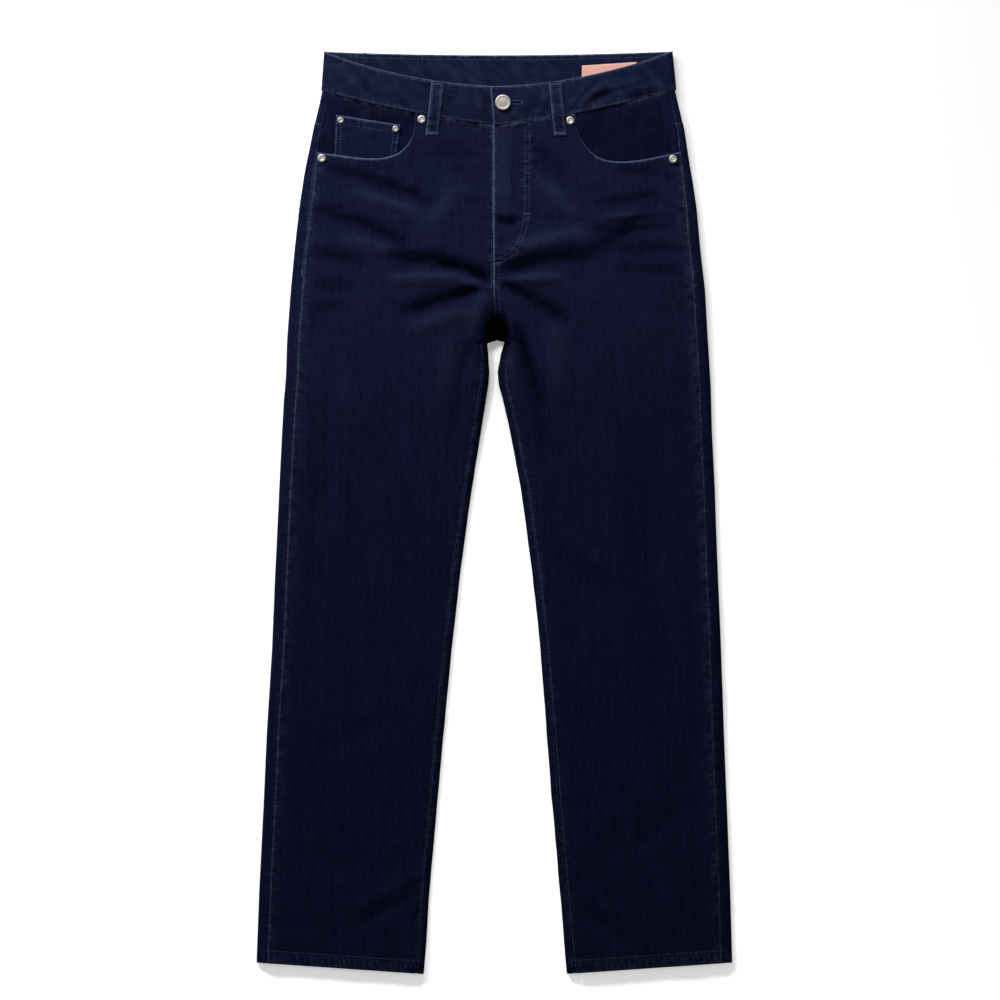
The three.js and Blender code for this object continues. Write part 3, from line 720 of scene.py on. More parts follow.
# Walks round the pressed leg from the side seam on the front, round the side fold, across the underside to
# the centre back or the inner fold, and up to the inseam. share is how much of the inner wrap is there.
def wrapRound(side, y, q, share):
    foldX, foldX2 = sideFold(side, y), innerFold(side, y)
    zLow = underZ(y)
    r = (frontFace(foldX - side * 2.2, y) - zLow) / 2
    r2 = (frontFace(foldX2 + side * 2.2, y) - zLow) / 2
    centreX = foldX - side * r
    endX = mixed(side * backMeet, foldX2 + side * r, share)
    # lengths: the strip on the front, the side fold, the underside, the inner fold and the strip past it
    a = np.abs(foldX - sideSeamX(side, y)) - r
    b = math.pi * r
    c = np.abs(centreX - endX)
    b2 = math.pi * r2 * share
    a2 = np.maximum(0, flap["inseam"] - r2) * share
    total = a + b + c + b2 + a2
    s = q * total
    x = sideSeamX(side, y) + side * s
    z = frontFace(x, y)
    turn = np.clip((s - a) / r, 0, math.pi)
    x = np.where(s > a, centreX + side * np.sin(turn) * r, x)
    z = np.where(s > a, zLow + r + np.cos(turn) * r, z)
    flat = s - a - b
    x = np.where(flat > 0, centreX - side * flat, x)
    z = np.where(flat > 0, zLow, z)
    inward = flat - c
    turn = np.clip(inward / r2, 0, math.pi)
    x = np.where(inward > 0, endX - side * np.sin(turn) * r2, x)
    z = np.where(inward > 0, zLow + r2 - np.cos(turn) * r2, z)
    up = inward - math.pi * r2
    x = np.where(up > 0, endX + side * up, x)
    z = np.where(up > 0, frontFace(x, y), z)
    under = (flat > 0) & (inward < 0)
    fromFold = np.minimum(np.abs(s - a - b / 2), np.abs(inward - b2 / 2))
    return x, z, s, total - s, under, fromFold


backCloth = {"wide": 262, "long": 930, "acrossPitch": 3.0, "downPitch": 3.2, "topRow": 240, "lowRow": -706,
             "seamGap": 0.03}


def backPiece(side):
    long = backCloth["long"]
    bm, u, v = sheetGrid(backCloth)
    y = mixed(backCloth["topRow"], backCloth["lowRow"], v)
    for _ in range(3):  # the rows follow the yoke seam above and the hem below
        x, z, first, last, under, fromFold = wrapRound(side, y, u, 1 - eased(-3.5, 0.5, y))
        inner = np.abs(x - innerFold(side, y))
        y = mixed(yokeY(x) - backCloth["seamGap"], hemY(side, x), v)
    fromTop, fromHem = v * long, y - hemY(side, x)
    dent = np.where(under, np.clip(-creaseHeight(backCreases, x, y) - 0.5 * softRelief(x, y, 9), 0, 2.0), 0)
    roll = edgeRoll(first) + edgeRoll(last) + edgeRoll(fromTop) + edgeRoll(fromHem)
    ripple = pucker(first, y, 51 + side, 7) + pucker(last, y, 61 + side, 7, 0.3)
    rope = 0.28 * bell(fromHem - 7, 6.5) * (1 + 1.5 * ropeTwist(x, y))
    z = z + dent * eased(0, 14, np.minimum(first - 12, last))
    z = z + np.where(under, -1.0, 1.0) * (roll + ripple) + np.where(under, 0, rope)
    wearAndHighlight = 0.5 * edgeWear(first) + 0.3 * edgeWear(last) + 0.35 * edgeWear(fromTop) + 0.5 * edgeWear(fromHem)
    wearAndHighlight += 0.10 * bell(fromFold, 2.6)
    # painted shade at the crotch and on the leg folds turned from the lamp
    paintedShade = crotchShade(x, y) * eased(-25, -15, y) + np.where(under & (inner > 8), 0, foldShade(side, x, y))
    levelTicks = 0.7 * bell(fromTop, 6) + bell(fromHem - 6, 7, 4)
    uprightTicks = 0.9 * bell(first, 5.5) + 0.9 * bell(last, 5.5)
    piece = finishCloth(sided("denim_back", side), bm, (x, y, z), wearAndHighlight, (first * side, y),
                        wall=garment["wall"], flip=side < 0, paintedShade=np.clip(paintedShade, 0, 1),
                        ticks=(levelTicks, uprightTicks))
    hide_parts(sided("back", side))
    return piece


yokeCloth = {"wide": 212, "long": 48, "acrossPitch": 3.0, "downPitch": 2.6, "topRow": 272, "lowRow": 230,
             "tuck": 0.6}


# A yoke starts under the waistband and ends at its back's top edge.
def yokePiece(side):
    long = yokeCloth["long"]
    bm, u, v = sheetGrid(yokeCloth)
    y = mixed(yokeCloth["topRow"], yokeCloth["lowRow"], v)
    for _ in range(3):
        x, z, first, last, under, _ = wrapRound(side, y, u, 0)
        topY = np.where(under, backSeamY(x), frontSeamY(x)) + yokeCloth["tuck"]
        y = mixed(topY, yokeY(x) + backCloth["seamGap"], v)
    fromTop, fromLow = v * long, (1 - v) * long
    roll = edgeRoll(first) + edgeRoll(last) + edgeRoll(fromTop) + edgeRoll(fromLow)
    ripple = pucker(fromLow, x, 71 + side, 7) + pucker(fromTop, x, 75 + side, 7)
    z = z + np.where(under, -1.0, 1.0) * (roll + ripple)
    wearAndHighlight = 0.35 * edgeWear(fromTop) + 0.45 * edgeWear(fromLow) + 0.3 * edgeWear(last) + 0.3 * edgeWear(first)
    levelTicks = 0.8 * bell(fromTop, 6) + 0.9 * bell(fromLow, 7)
    piece = finishCloth(sided("denim_yoke", side), bm, (x, y, z), wearAndHighlight, (first * side, y),
                        wall=garment["wall"], flip=side < 0, ticks=(levelTicks, 0 * x))
    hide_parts(sided("yoke", side))
    return piece


backs = {side: backPiece(side) for side in legs}
yokes = {side: yokePiece(side) for side in legs}

print("waistband")
bandCreases = [
    (81, 257, 103, 280, 4, 1.0), (94, 262, 120, 280, 4.5, 1.1), (119, 274, 160, 286, 5, 1.0),
    (88, 262, 110, 284, 4, -0.9), (104, 262, 134, 276, 5, -0.9), (140, 272, 178, 280, 6, 0.8),
    (148, 262, 184, 270, 6, -0.6), (48, 250, 58, 274, 4, 0.6), (40, 252, 48, 276, 4, -0.6),
    (30, 248, 36, 270, 5, 0.5), (-100, 262, -120, 282, 6, 0.6), (-128, 262, -150, 284, 7, -0.6),
    (-150, 262, -172, 286, 6, 0.6), (-90, 256, -104, 276, 5, -0.5), (-30, 246, -36, 268, 7, 0.4),
    (-50, 250, -54, 270, 5, -0.4),
]
band = {"wide": 840, "long": garment["bandHigh"], "acrossPitch": 2.6, "downPitch": 2.4, "wall": 2.2,
        "over": 1.2}
flyEnd = {"topX": -7.7, "lowX": -3.9, "corner": 4.5, "tongueX": 33, "stepFrom": -17, "stepTo": -8,
          "drop": 2.75}


def plainBandFace(y):
    return plainFace(y) + garment["band"] - garment["cloth"]


# Outer face of the front of the waistband.
def bandFace(x, y):
    fine = 0.8 * softNoise((x + 0.7 * y) / 7, (y - 0.7 * x) / 15, 113)
    return plainBandFace(y) + 1.2 * creaseHeight(bandCreases, x, y) + 1.2 * softRelief(x, y, 13) + fine


# One ring from the fly's edge, round the left side, across the back and round the right side to the tongue.
def waistbandPiece():
    high = band["long"]
    bm, u, v = sheetGrid(band)
    fromTop, fromLow = v * high, (1 - v) * high
    corner = np.clip(flyEnd["corner"] - fromTop, 0, None)
    rounding = flyEnd["corner"] - np.sqrt(flyEnd["corner"] ** 2 - corner ** 2)
    endX = mixed(flyEnd["topX"], flyEnd["lowX"], v) + rounding
    zBack = underZ(300) + garment["cloth"] - garment["band"]
    y = mixed(313, 270, v)
    for _ in range(3):
        zFront = plainBandFace(y)
        r = (zFront - zBack) / 2
        leftX = sideFold(leftLeg, y) + band["over"] - r
        rightX = sideFold(rightLeg, y) - band["over"] + r
        a, arc, c, e = leftX - endX, math.pi * r, leftX - rightX, flyEnd["tongueX"] - rightX
        total = a + 2 * arc + c + e
        s = u * total
        x = endX + s
        turn = np.clip((s - a) / r, 0, math.pi)
        x = np.where(s > a, leftX + np.sin(turn) * r, x)
        z = np.where(s > a, zBack + r + np.cos(turn) * r, 0.0)
        flat = s - a - arc
        x = np.where(flat > 0, leftX - flat, x)
        z = np.where(flat > 0, zBack, z)
        turn = np.clip((flat - c) / r, 0, math.pi)
        x = np.where(flat > c, rightX - np.sin(turn) * r, x)
        z = np.where(flat > c, zBack + r - np.cos(turn) * r, z)
        back = flat - c - arc
        x = np.where(back > 0, rightX + back, x)
        behind = eased(0.15, 0.85, (s - a) / arc) * (1 - eased(0.15, 0.85, (s - a - arc - c) / arc))
        y = mixed(mixed(frontTopY(x), backTopY(x), behind), mixed(frontSeamY(x), backSeamY(x), behind), v)
    onFront = (s < a) | (back > 0)
    onBack = (s > a + arc / 2) & (s < a + 1.5 * arc + c)
    sink = np.where(back > 0, flyEnd["drop"] * eased(flyEnd["stepFrom"], flyEnd["stepTo"], x), 0)
    lie = np.where(back > 0, 1 - eased(-30, -10, x), 1)
    nearFold = np.minimum(1, np.minimum(np.abs(s - a), np.abs(back)) / 12)
    z = np.where(onFront, mixed(zFront, bandFace(x, y), nearFold * lie) - sink, z)
    z = z + np.where((s < a) & (s < 22), 0.5 * (1 - eased(4, 22, s)), 0)
    roll = 1.5 * (edgeRoll(fromTop) + edgeRoll(fromLow)) + 1.4 * edgeRoll(s) + edgeRoll(total - s)
    groove = -0.35 * bell(fromTop - 3.0, 1.1) - 0.35 * bell(fromLow - 3.0, 1.1)
    ripple = pucker(fromTop, s, 81, 8, 0.30) + pucker(fromLow, s, 83, 8, 0.34)
    z = z + np.where(onBack, -1.0, 1.0) * (roll + groove + ripple)
    z = np.where(onFront & (sink < 0.1), np.maximum(z, frontFace(x, y) + 0.25), z)
    wearAndHighlight = 0.8 * edgeWear(fromTop, 1.1) + 0.6 * edgeWear(fromLow, 1.1) + 0.7 * edgeWear(s, 1.1) * (s < a)
    # painted highlight and painted shade in streaks along the band's fine diagonal wrinkles, painted shade in
    # its crease troughs
    wearAndHighlight += 0.08 * np.clip(softNoise((x + 0.8 * y) / 7, (y - 0.6 * x) / 16, 85), 0, 1)
    paintedShade = 0.22 * np.clip(softNoise((x + 0.8 * y) / 6, (y - 0.6 * x) / 15, 87), 0, 1)
    paintedShade += 0.16 * np.clip(-creaseHeight(bandCreases, x, y), 0, 4)
    levelTicks = 0.9 * bell(fromTop, 7) + 1.0 * bell(fromLow, 6) + 0.06
    piece = finishCloth("denim_waistband", bm, (x, y, z), wearAndHighlight, (y, s), slot="bandDenim", wall=band["wall"],
                        paintedShade=paintedShade, ticks=(levelTicks, 0 * x))
    cutButtonhole(piece)
    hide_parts("waistband")
    return piece


buttonhole = {"x": 6.5, "y": 260.5, "eye": 3.0, "end": 27.0, "wide": 2.2, "eyeDeep": 4.4, "deep": 4.0,
              "low": 1.3}


# A keyhole, round under the button's post and then a slit, cut through the overlapping end.
def cutButtonhole(piece):
    bm = bmesh.new()
    radius = buttonhole["eye"]
    eye = bmesh.ops.create_cone(bm, cap_ends=True, segments=20, radius1=radius, radius2=radius,
                                depth=buttonhole["eyeDeep"])
    bmesh.ops.translate(bm, verts=eye["verts"], vec=(buttonhole["x"], buttonhole["y"], 0))
    slit = bmesh.ops.create_cube(bm, size=1)
    long = buttonhole["end"] - buttonhole["x"]
    bmesh.ops.scale(bm, verts=slit["verts"], vec=(long, buttonhole["wide"], buttonhole["deep"]))
    bmesh.ops.translate(bm, verts=slit["verts"], vec=(buttonhole["x"] + long / 2, buttonhole["y"], 0))
    height = float(bandFace(np.array(6.0), np.array(260.0))) - buttonhole["low"]
    for vert in bm.verts:
        vert.co = toWorld(vert.co.x, vert.co.y, vert.co.z + height)
    cutter = newObject("buttonholeCutter", bm)
    cut = piece.modifiers.new("buttonhole", "BOOLEAN")
    cut.operation = "DIFFERENCE"
    cut.solver = "EXACT"
    cut.use_self = True
    cut.object = cutter
    applyModifiers(piece)
    bpy.data.objects.remove(cutter)


waistband = waistbandPiece()

print("pockets, hems and label")


# The plain level of a front's pocket area, no higher than the cloth's own shape there.
def pocketFace(x, y):
    return np.minimum(frontFace(x, y), plainFace(y) + 0.5)


facing = {"wide": 118, "long": 60, "pitch": 2.4, "wall": 0.9, "past": 13, "edgeDeep": 0.15,
          "deep": {rightLeg: 2.6, leftLeg: 1.5}, "bag": {rightLeg: 0.5, leftLeg: 1}}


# The pocket's facing goes past the mouth, under the front, and meets the band and the side seam.
def facingPiece(side):
    gap, past = garment["seamGap"], facing["past"]
    mouth = mouthLine(side)
    run = reachAlong(mouth)
    bm, u, v = sheetGrid(facing)
    turn = np.minimum(1, u * 2.6)
    lowX = np.interp(u * run[-1], run, mouth[:, 0]) - side * past * (1 - turn)
    lowY = np.interp(u * run[-1], run, mouth[:, 1]) - past * turn
    lowX = mixed(lowX, sideSeamX(side, 195) - side * gap, np.clip(u * 8 - 7, 0, 1))
    topX = mixed(mouth[0, 0] - side * past, sideSeamX(side, 262) - side * gap, u)
    x, y = mixed(topX, lowX, v), mixed(frontSeamY(topX) - gap, lowY, v)
    fromSeam, mouthX = frontSeamY(x) - y, abs(mouth[0, 0])
    openness = eased(0, 20, fromSeam) * eased(0, 16, np.abs(sideSeamX(side, y) - x))
    lift = (1 - openness) * eased(mouthX, mouthX + 7, np.abs(x)) * eased(206, 224, y)
    bag = 1.5 * bell(x - side * 112, 26) * bell(y - 226, 20)
    z = pocketFace(x, y) - mixed(facing["deep"][side], facing["edgeDeep"], lift) - bag * facing["bag"][side]
    z = z + 0.35 * softNoise(x / 24, y / 18, 15)
    z = z + 0.6 * softNoise((x - side * 0.8 * y) / 16, (y + side * 0.8 * x) / 7.5, 16) * openness
    wearAndHighlight = 0.45 * edgeWear(fromSeam, 1.2)
    # painted shade over the facing under the pocket mouth, deeper where the pocket opens
    piece = finishCloth(sided("denim_pocket_facing", side), bm, (x, y, z), wearAndHighlight, (x, y), wall=facing["wall"],
                        flip=side < 0, paintedShade=0.12 + 0.2 * openness, ticks=(0.8 * bell(fromSeam, 6), 0 * x))
    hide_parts(sided("pocket_facing", side))


coin = {"left": -176.5, "right": -106.5, "leftY": 247, "rightY": 236, "low": 189, "flare": 3, "wide": 72,
        "long": 54, "sideRun": 70, "pitch": 2.2, "wall": 0.75, "above": 0.12}
coinLow = {"left": coin["left"] - coin["flare"], "right": coin["right"] - 2 * coin["flare"]}


def coinPiece():
    bm, u, v = sheetGrid(coin)
    x = mixed(mixed(coin["left"], coin["right"], u), mixed(coinLow["left"], coinLow["right"], u), v)
    y = mixed(mixed(coin["leftY"], coin["rightY"], u), coin["low"] + 0 * u, v)
    fromTop, fromSide = v * coin["long"], np.minimum(u * coin["sideRun"], (1 - u) * coin["sideRun"])
    z = pocketFace(x, y) - garment["cloth"] - garment["seamGap"] + coin["above"]
    z = z + edgeRoll(fromSide) + edgeRoll(fromTop)
    z = z + pucker(fromSide, y, 91, 5, 0.2) + pucker(fromTop, x, 92, 8, 0.2)
    z = z + 0.25 * (1 - eased(8.5, 10, fromTop)) - 0.5 * bell(x + 141, 20) * bell(y - 214, 14)
    wearAndHighlight = 0.9 * edgeWear(fromTop, 1.1) + 0.45 * edgeWear(fromSide)
    ticks = (0.9 * bell(fromTop - 5, 6), 0.9 * bell(fromSide, 5.5))
    piece = finishCloth("denim_coin_pocket", bm, (x, y, z), wearAndHighlight, (x, y), wall=coin["wall"], ticks=ticks)
    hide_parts("coin_pocket")
    return piece


rear = {"middle": 105, "topHalf": 67, "lowHalf": 58, "top": 178, "rise": 6, "low": 38, "point": 24,
        "shoulder": 0.86, "wide": 134, "long": 132, "pitch": 2.6, "wall": 1.0, "hem": 20}


def rearPocket(side):
    bm, u, v = sheetGrid(rear)
    width = mixed(2 * rear["topHalf"], 2 * rear["lowHalf"], np.clip(v / rear["shoulder"], 0, 1))
    x = side * (rear["middle"] + (u - 0.5) * width)
    y = mixed(rear["top"] + rear["rise"] * u, rear["low"] + rear["point"] * np.abs(2 * u - 1), v)
    inset = np.minimum(np.minimum(u, 1 - u) * width, np.minimum(v, 1 - v) * rear["long"])
    z = 0.08 + 0.10 * (1 + softRelief(x, y, 19)) - edgeRoll(inset) * 0.5
    z = z + np.abs(pucker(inset, x + y, 95, 8, 0.12))
    wearAndHighlight = 0.6 * edgeWear(inset) + 0.15 * edgeWear(np.abs(v * rear["long"] - rear["hem"]), 1.5)
    piece = finishCloth(sided("denim_back_pocket", side), bm, (x, y, z), wearAndHighlight, (x, y), wall=rear["wall"],
                        flip=side > 0)
    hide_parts(sided("back_pocket", side))
    return piece


hem = {"columns": 131, "high": 15.5, "pitch": 2.2, "wall": 0.9, "gap": 0.35, "under": 0.75, "topRow": -690,
       "lowRow": -704, "top": 15.8, "low": 0.3, "weldM": 0.00002}


# The turned-up cloth inside a hem, a flat ring.
def hemPiece(side):
    bm, u, v = clothGrid(np.linspace(0, 1, hem["columns"]), spacing(hem["high"], hem["pitch"]))
    rim = garment["wall"] + hem["gap"]
    y = mixed(hem["topRow"], hem["lowRow"], v)
    for _ in range(3):
        inX, outX = innerFold(side, y), sideFold(side, y)
        low = underZ(y) + rim
        high = frontFace(np.clip(np.abs(inX), 60, 400) * side, y) - garment["wall"] - hem["under"]
        r = (high - low) / 2
        inCentre, outCentre = inX + side * (rim + r), outX - side * (rim + r)
        a = np.abs(outX - inX) - 2 * (rim + r)
        s = u * (2 * a + 2 * math.pi * r)
        x = outCentre - side * s
        z = high
        turn = np.clip((s - a) / r, 0, math.pi)
        x = np.where(s > a, inCentre - side * np.sin(turn) * r, x)
        z = np.where(s > a, low + r + np.cos(turn) * r, z)
        flat = s - a - math.pi * r
        x = np.where(flat > 0, inCentre + side * flat, x)
        z = np.where(flat > 0, low, z)
        turn = np.clip((flat - a) / r, 0, math.pi)
        x = np.where(flat > a, outCentre + side * np.sin(turn) * r, x)
        z = np.where(flat > a, low + r - np.cos(turn) * r, z)
        y = hemY(side, x) + mixed(hem["top"], hem["low"], v)
    for vert, spot in zip(bm.verts, toWorld(x, y, z)):
        vert.co = spot
    bmesh.ops.remove_doubles(bm, verts=bm.verts[:], dist=hem["weldM"])
    bmesh.ops.recalc_face_normals(bm, faces=bm.faces[:])
    grainLayer = bm.loops.layers.uv.new("grain")
    for face in bm.faces:
        face.smooth = True
        for loop in face.loops:
            loop[grainLayer].uv = (loop.vert.co.x, loop.vert.co.y)
    piece = clothObject(sided("denim_hem", side), bm, "denim", hem["wall"])
    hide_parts(sided("hem", side))


ribbon = {"left": 93.4, "wide": 60, "top": 301.5, "long": 24, "lean": 0.066, "pitch": 2.0, "level": 4.6,
          "wall": 0.45}


def labelPiece():
    wide, high = ribbon["wide"], ribbon["long"]
    bm, u, v = sheetGrid(ribbon)
    x = ribbon["left"] + u * wide
    y = ribbon["top"] - v * high + u * wide * ribbon["lean"]
    edge = np.minimum(np.minimum(u, 1 - u) * wide, np.minimum(v, 1 - v) * high)
    z = ribbon["level"] + 0.5 * edgeRoll(edge) + 0.15 * softNoise(x / 14, y / 9, 17)
    piece = finishCloth("size_label_ribbon", bm, (x, y, z), 0 * x, (x, y), slot="ribbon", wall=ribbon["wall"])
    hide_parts("size_label")


for side in legs:
    facingPiece(side)
coinPocket = coinPiece()
rearPockets = {side: rearPocket(side) for side in legs}
for side in legs:
    hemPiece(side)
labelPiece()

print("belt loops")
strap = {"wide": 13.4, "wall": 1.25, "belowSeam": 20, "above": 0.3, "acrossPitch": 1.1, "downPitch": 1.3,
         "arch": 0.9}
strapPlaces = {
    "belt_loop_front_right": {"middle": -65.2, "lean": -6.3, "front": True},
    "belt_loop_front_left": {"middle": 63.2, "lean": 6.6, "front": True},
    "belt_loop_side_right": {"middle": -128, "lean": 0, "front": False},
    "belt_loop_side_left": {"middle": 128, "lean": 0, "front": False},
    "belt_loop_centre_back": {"middle": 0, "lean": 0, "front": False},
}


def strapEnds(middle, front):
    if front:
        return float(frontTopY(middle)) - 0.4, float(frontSeamY(middle)) - strap["belowSeam"]
    return float(backTopY(middle)) - 1, float(backSeamY(middle)) - strap["belowSeam"]


def beltLoop(name, middle, lean, front):
    topY, lowY = strapEnds(middle, front)
    seamY, long = lowY + strap["belowSeam"], topY - lowY
    bm, u, v = clothGrid(spacing(strap["wide"], strap["acrossPitch"]), spacing(long, strap["downPitch"]))
    x = middle + lean * v + (u - 0.5) * strap["wide"]
    y = topY - v * long
    side = np.minimum(u, 1 - u) * strap["wide"]
    end = np.minimum(v, 1 - v) * long
    ridge = 0.16 * bell(side - 1.3, 0.7) - 0.14 * bell(side - 2.8, 0.6) + 0.12 * bell(side - 6.7, 2.2)
    ridge = ridge + edgeRoll(side) + edgeRoll(end) + 0.10 * softNoise(x / 3, y / 4.5, 23)
    if front:
        onBand = eased(seamY - 5, seamY - 0.5, y)
        grip = eased(topY - 7, topY - 13, y) * eased(lowY + 6, lowY + 12, y)
        bandZ = bandFace(np.full_like(y, middle), y)
        clothZ = frontFace(np.full_like(y, middle), np.minimum(y, 250))
        z = mixed(clothZ, bandZ, onBand) + strap["above"] + strap["wall"] + strap["arch"] * grip + ridge
        z = z - 0.35 * bell(end - 2.6, 1.5)
    else:
        z = np.maximum(0.4 - ridge * 0.5, 0.04)
        x = 2 * middle - x
    wearAndHighlight = 0.8 * edgeWear(side, 1.1) + 0.9 * edgeWear((1 - v) * long, 1.0) + 0.3 * edgeWear(v * long, 0.8)
    piece = finishCloth("denim_" + name, bm, (x, y, z), wearAndHighlight, (x, y), slot="bandDenim", wall=strap["wall"],
                        ticks=(0 * x, 0.7 + 0 * x))
    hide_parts(name)
    return piece


loops = {name: beltLoop(name, **place) for name, place in strapPlaces.items()}

print("button and rivets")


def spinMetal(name, profile, x, y, z, steps):
    bm = bmesh.new()
    verts = [bm.verts.new((r, 0, h)) for r, h in profile]
    edges = [bm.edges.new(pair) for pair in zip(verts, verts[1:])]
    bmesh.ops.spin(bm, geom=verts + edges, cent=(0, 0, 0), axis=(0, 0, 1), angle=2 * math.pi, steps=steps,
                   use_merge=True)
    bmesh.ops.remove_doubles(bm, verts=bm.verts[:], dist=0.005)
    bmesh.ops.recalc_face_normals(bm, faces=bm.faces[:])
    for vert in bm.verts:
        vert.co = toWorld(vert.co.x + x, vert.co.y + y, vert.co.z + z)
    for face in bm.faces:
        face.smooth = True
    piece = newObject("nickel_" + name, bm)
    piece.data.materials.append(finishes["nickel"])
    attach(piece, "root")
    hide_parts(name)


# Radius and height of each turn of the profile.
buttonProfile = [(0, -2.3), (2.4, -2.3), (2.4, 0.6), (6.8, 0.7), (7.9, 0.95), (8.45, 1.5), (8.5, 2.1),
                 (8.25, 2.65), (7.6, 2.95), (6.9, 2.98), (6.35, 2.8), (5.9, 2.62), (5.2, 2.66), (3.6, 2.86),
                 (1.8, 2.98), (0, 3.02)]
rivetProfile = [(0, -0.1), (1, -0.1), (1, 0.05), (0.98, 0.14), (0.9, 0.26), (0.76, 0.37), (0.6, 0.4),
                (0.48, 0.35), (0.38, 0.24), (0.3, 0.18), (0.2, 0.2), (0.1, 0.27), (0, 0.29)]
rivets = {"high": 5.0, "above": 0.15, "large": 4.7, "small": 3.6, "coinDrop": 1.5}
rivetPlaces = [
    ("rivet_right_waist", -82.8, 242.2, rivets["large"], 0),
    ("rivet_right_side", -192.6, 199.6, rivets["large"], 0),
    ("rivet_left_waist", 80.4, 240.9, rivets["large"], 0),
    ("rivet_left_side", 193.4, 198.6, rivets["large"], 0),
    ("rivet_coin_outer", -171.8, 241.4, rivets["small"], rivets["coinDrop"]),
    ("rivet_coin_inner", -111.6, 231.8, rivets["small"], rivets["coinDrop"]),
]
buttonX, buttonY = buttonhole["x"], buttonhole["y"]
bandLevel = float(bandFace(np.array(buttonX), np.array(buttonY)))
spinMetal("button", buttonProfile, buttonX, buttonY, bandLevel, 56)
for name, x, y, radius, drop in rivetPlaces:
    around = frontFace(x + np.array([-3.0, 0, 3, 0, 0]), y + np.array([0, 0, 0, -3.0, 3]))
    profile = [(r * radius, h * rivets["high"]) for r, h in rivetProfile]
    spinMetal(name, profile, x, y, float(np.max(around)) - drop + rivets["above"], 32)

print("stitching")
stitch = {"pitch": 3.3, "long": 2.35, "radius": 0.30, "bury": 0.04, "tackPitch": 0.55, "tackRadius": 0.26,
          "fromAbove": 60.0, "fromBelow": -50.0}


# One stitch, a short round-ended bar along x, 1 long and 1 in radius.
def stitchShape():
    bm = bmesh.new()
    bmesh.ops.create_uvsphere(bm, u_segments=6, v_segments=5, radius=1)
    bmesh.ops.rotate(bm, verts=bm.verts, matrix=Matrix.Rotation(math.pi / 2, 3, "Y"), cent=(0, 0, 0))
    for vert in bm.verts:
        vert.co.x = math.copysign(abs(vert.co.x) ** 0.6, vert.co.x) / 2
    bm.verts.index_update()
    spots = np.array([vert.co[:] for vert in bm.verts])
    faces = [[vert.index for vert in face.verts] for face in bm.faces]
    bm.free()
    return spots, faces


# Collects the stitches that lie on some pieces, seen from above or from under, and makes them one piece.
class Thread:
    def __init__(self, name, under=False):
        self.name, self.under, self.frames, self.surface = name, under, [], None

    def lie(self, *targets):
        verts, faces = [], []
        for piece in targets:
            start = len(verts)
            verts += [v.co for v in piece.data.vertices]
            faces += [[start + i for i in p.vertices] for p in piece.data.polygons]
        self.surface = BVHTree.FromPolygons(verts, faces)

    def put(self, x, y, angle, long=stitch["long"], radius=stitch["radius"], lift=0.0):
        start = Vector(toWorld(x, y, stitch["fromBelow"] if self.under else stitch["fromAbove"]))
        towards = Vector((0, 0, 1 if self.under else -1))
        hit, normal, _, _ = self.surface.ray_cast(start, towards)
        if hit is None:
            return
        if normal.dot(towards) > 0:
            normal = -normal
        ahead = Vector((math.cos(angle), math.sin(angle), 0))
        ahead = (ahead - normal * ahead.dot(normal)).normalized()
        self.frames.append((hit + normal * (lift - stitch["bury"]) / 1000, ahead, normal, long, radius))

    def row(self, points):
        line = np.array(points, float)
        reach = reachAlong(line)
        count = max(1, int(reach[-1] / stitch["pitch"]))
        for at in (np.arange(count) + 0.5) * reach[-1] / count:
            near = [at - 0.6, at, at + 0.6]
            (x1, x, x2), (y1, y, y2) = (np.interp(near, reach, line[:, k]) for k in (0, 1))
            self.put(x, y, math.atan2(y2 - y1, x2 - x1) + random.normal(0, 0.04))

    def bartack(self, x, y, angle, long=9.0, wide=2.2):
        count = int(long / stitch["tackPitch"])
        for k in range(count):
            along = ((k + 0.5) / count - 0.5) * long
            slant = math.pi / 2 + (0.25 if k % 2 else -0.25)
            self.put(x + math.cos(angle) * along, y + math.sin(angle) * along, angle + slant, wide,
                     stitch["tackRadius"], 0.12)

    def finish(self):
        spots, faces = stitchShape()
        allSpots, allFaces = [], []
        for hit, ahead, normal, long, radius in self.frames:
            basis = np.array([ahead * long, normal.cross(ahead) * radius, normal * radius]) / 1000
            start = len(allSpots) * len(spots)
            allSpots.append(spots @ basis + np.array(hit))
            allFaces += [[start + i for i in face] for face in faces]
        mesh = bpy.data.meshes.new(self.name)
        mesh.from_pydata(np.concatenate(allSpots).tolist(), [], allFaces)
        mesh.shade_smooth()
        piece = bpy.data.objects.new(self.name, mesh)
        bpy.context.collection.objects.link(piece)
        mesh.materials.append(finishes["thread"])
        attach(piece, "root")
        print(self.name, len(self.frames), "stitches")


# A line moved sideways by a distance, to the left of its direction.
def offsetLine(points, distance):
    line = np.array(points, float)
    along = np.gradient(line, axis=0)
    along /= np.linalg.norm(along, axis=1)[:, None]
    return line + np.stack([-along[:, 1], along[:, 0]], axis=1) * distance


def hemRow(side):
    xs = np.linspace(float(innerFold(side, -700)) + side * 4, float(sideFold(side, -700)) - side * 4, 60)
    return [(x, float(hemY(side, x)) + 14.2) for x in xs]


def rowAlong(curve, gap, xs):
    return [(x, float(curve(x)) + gap) for x in xs]


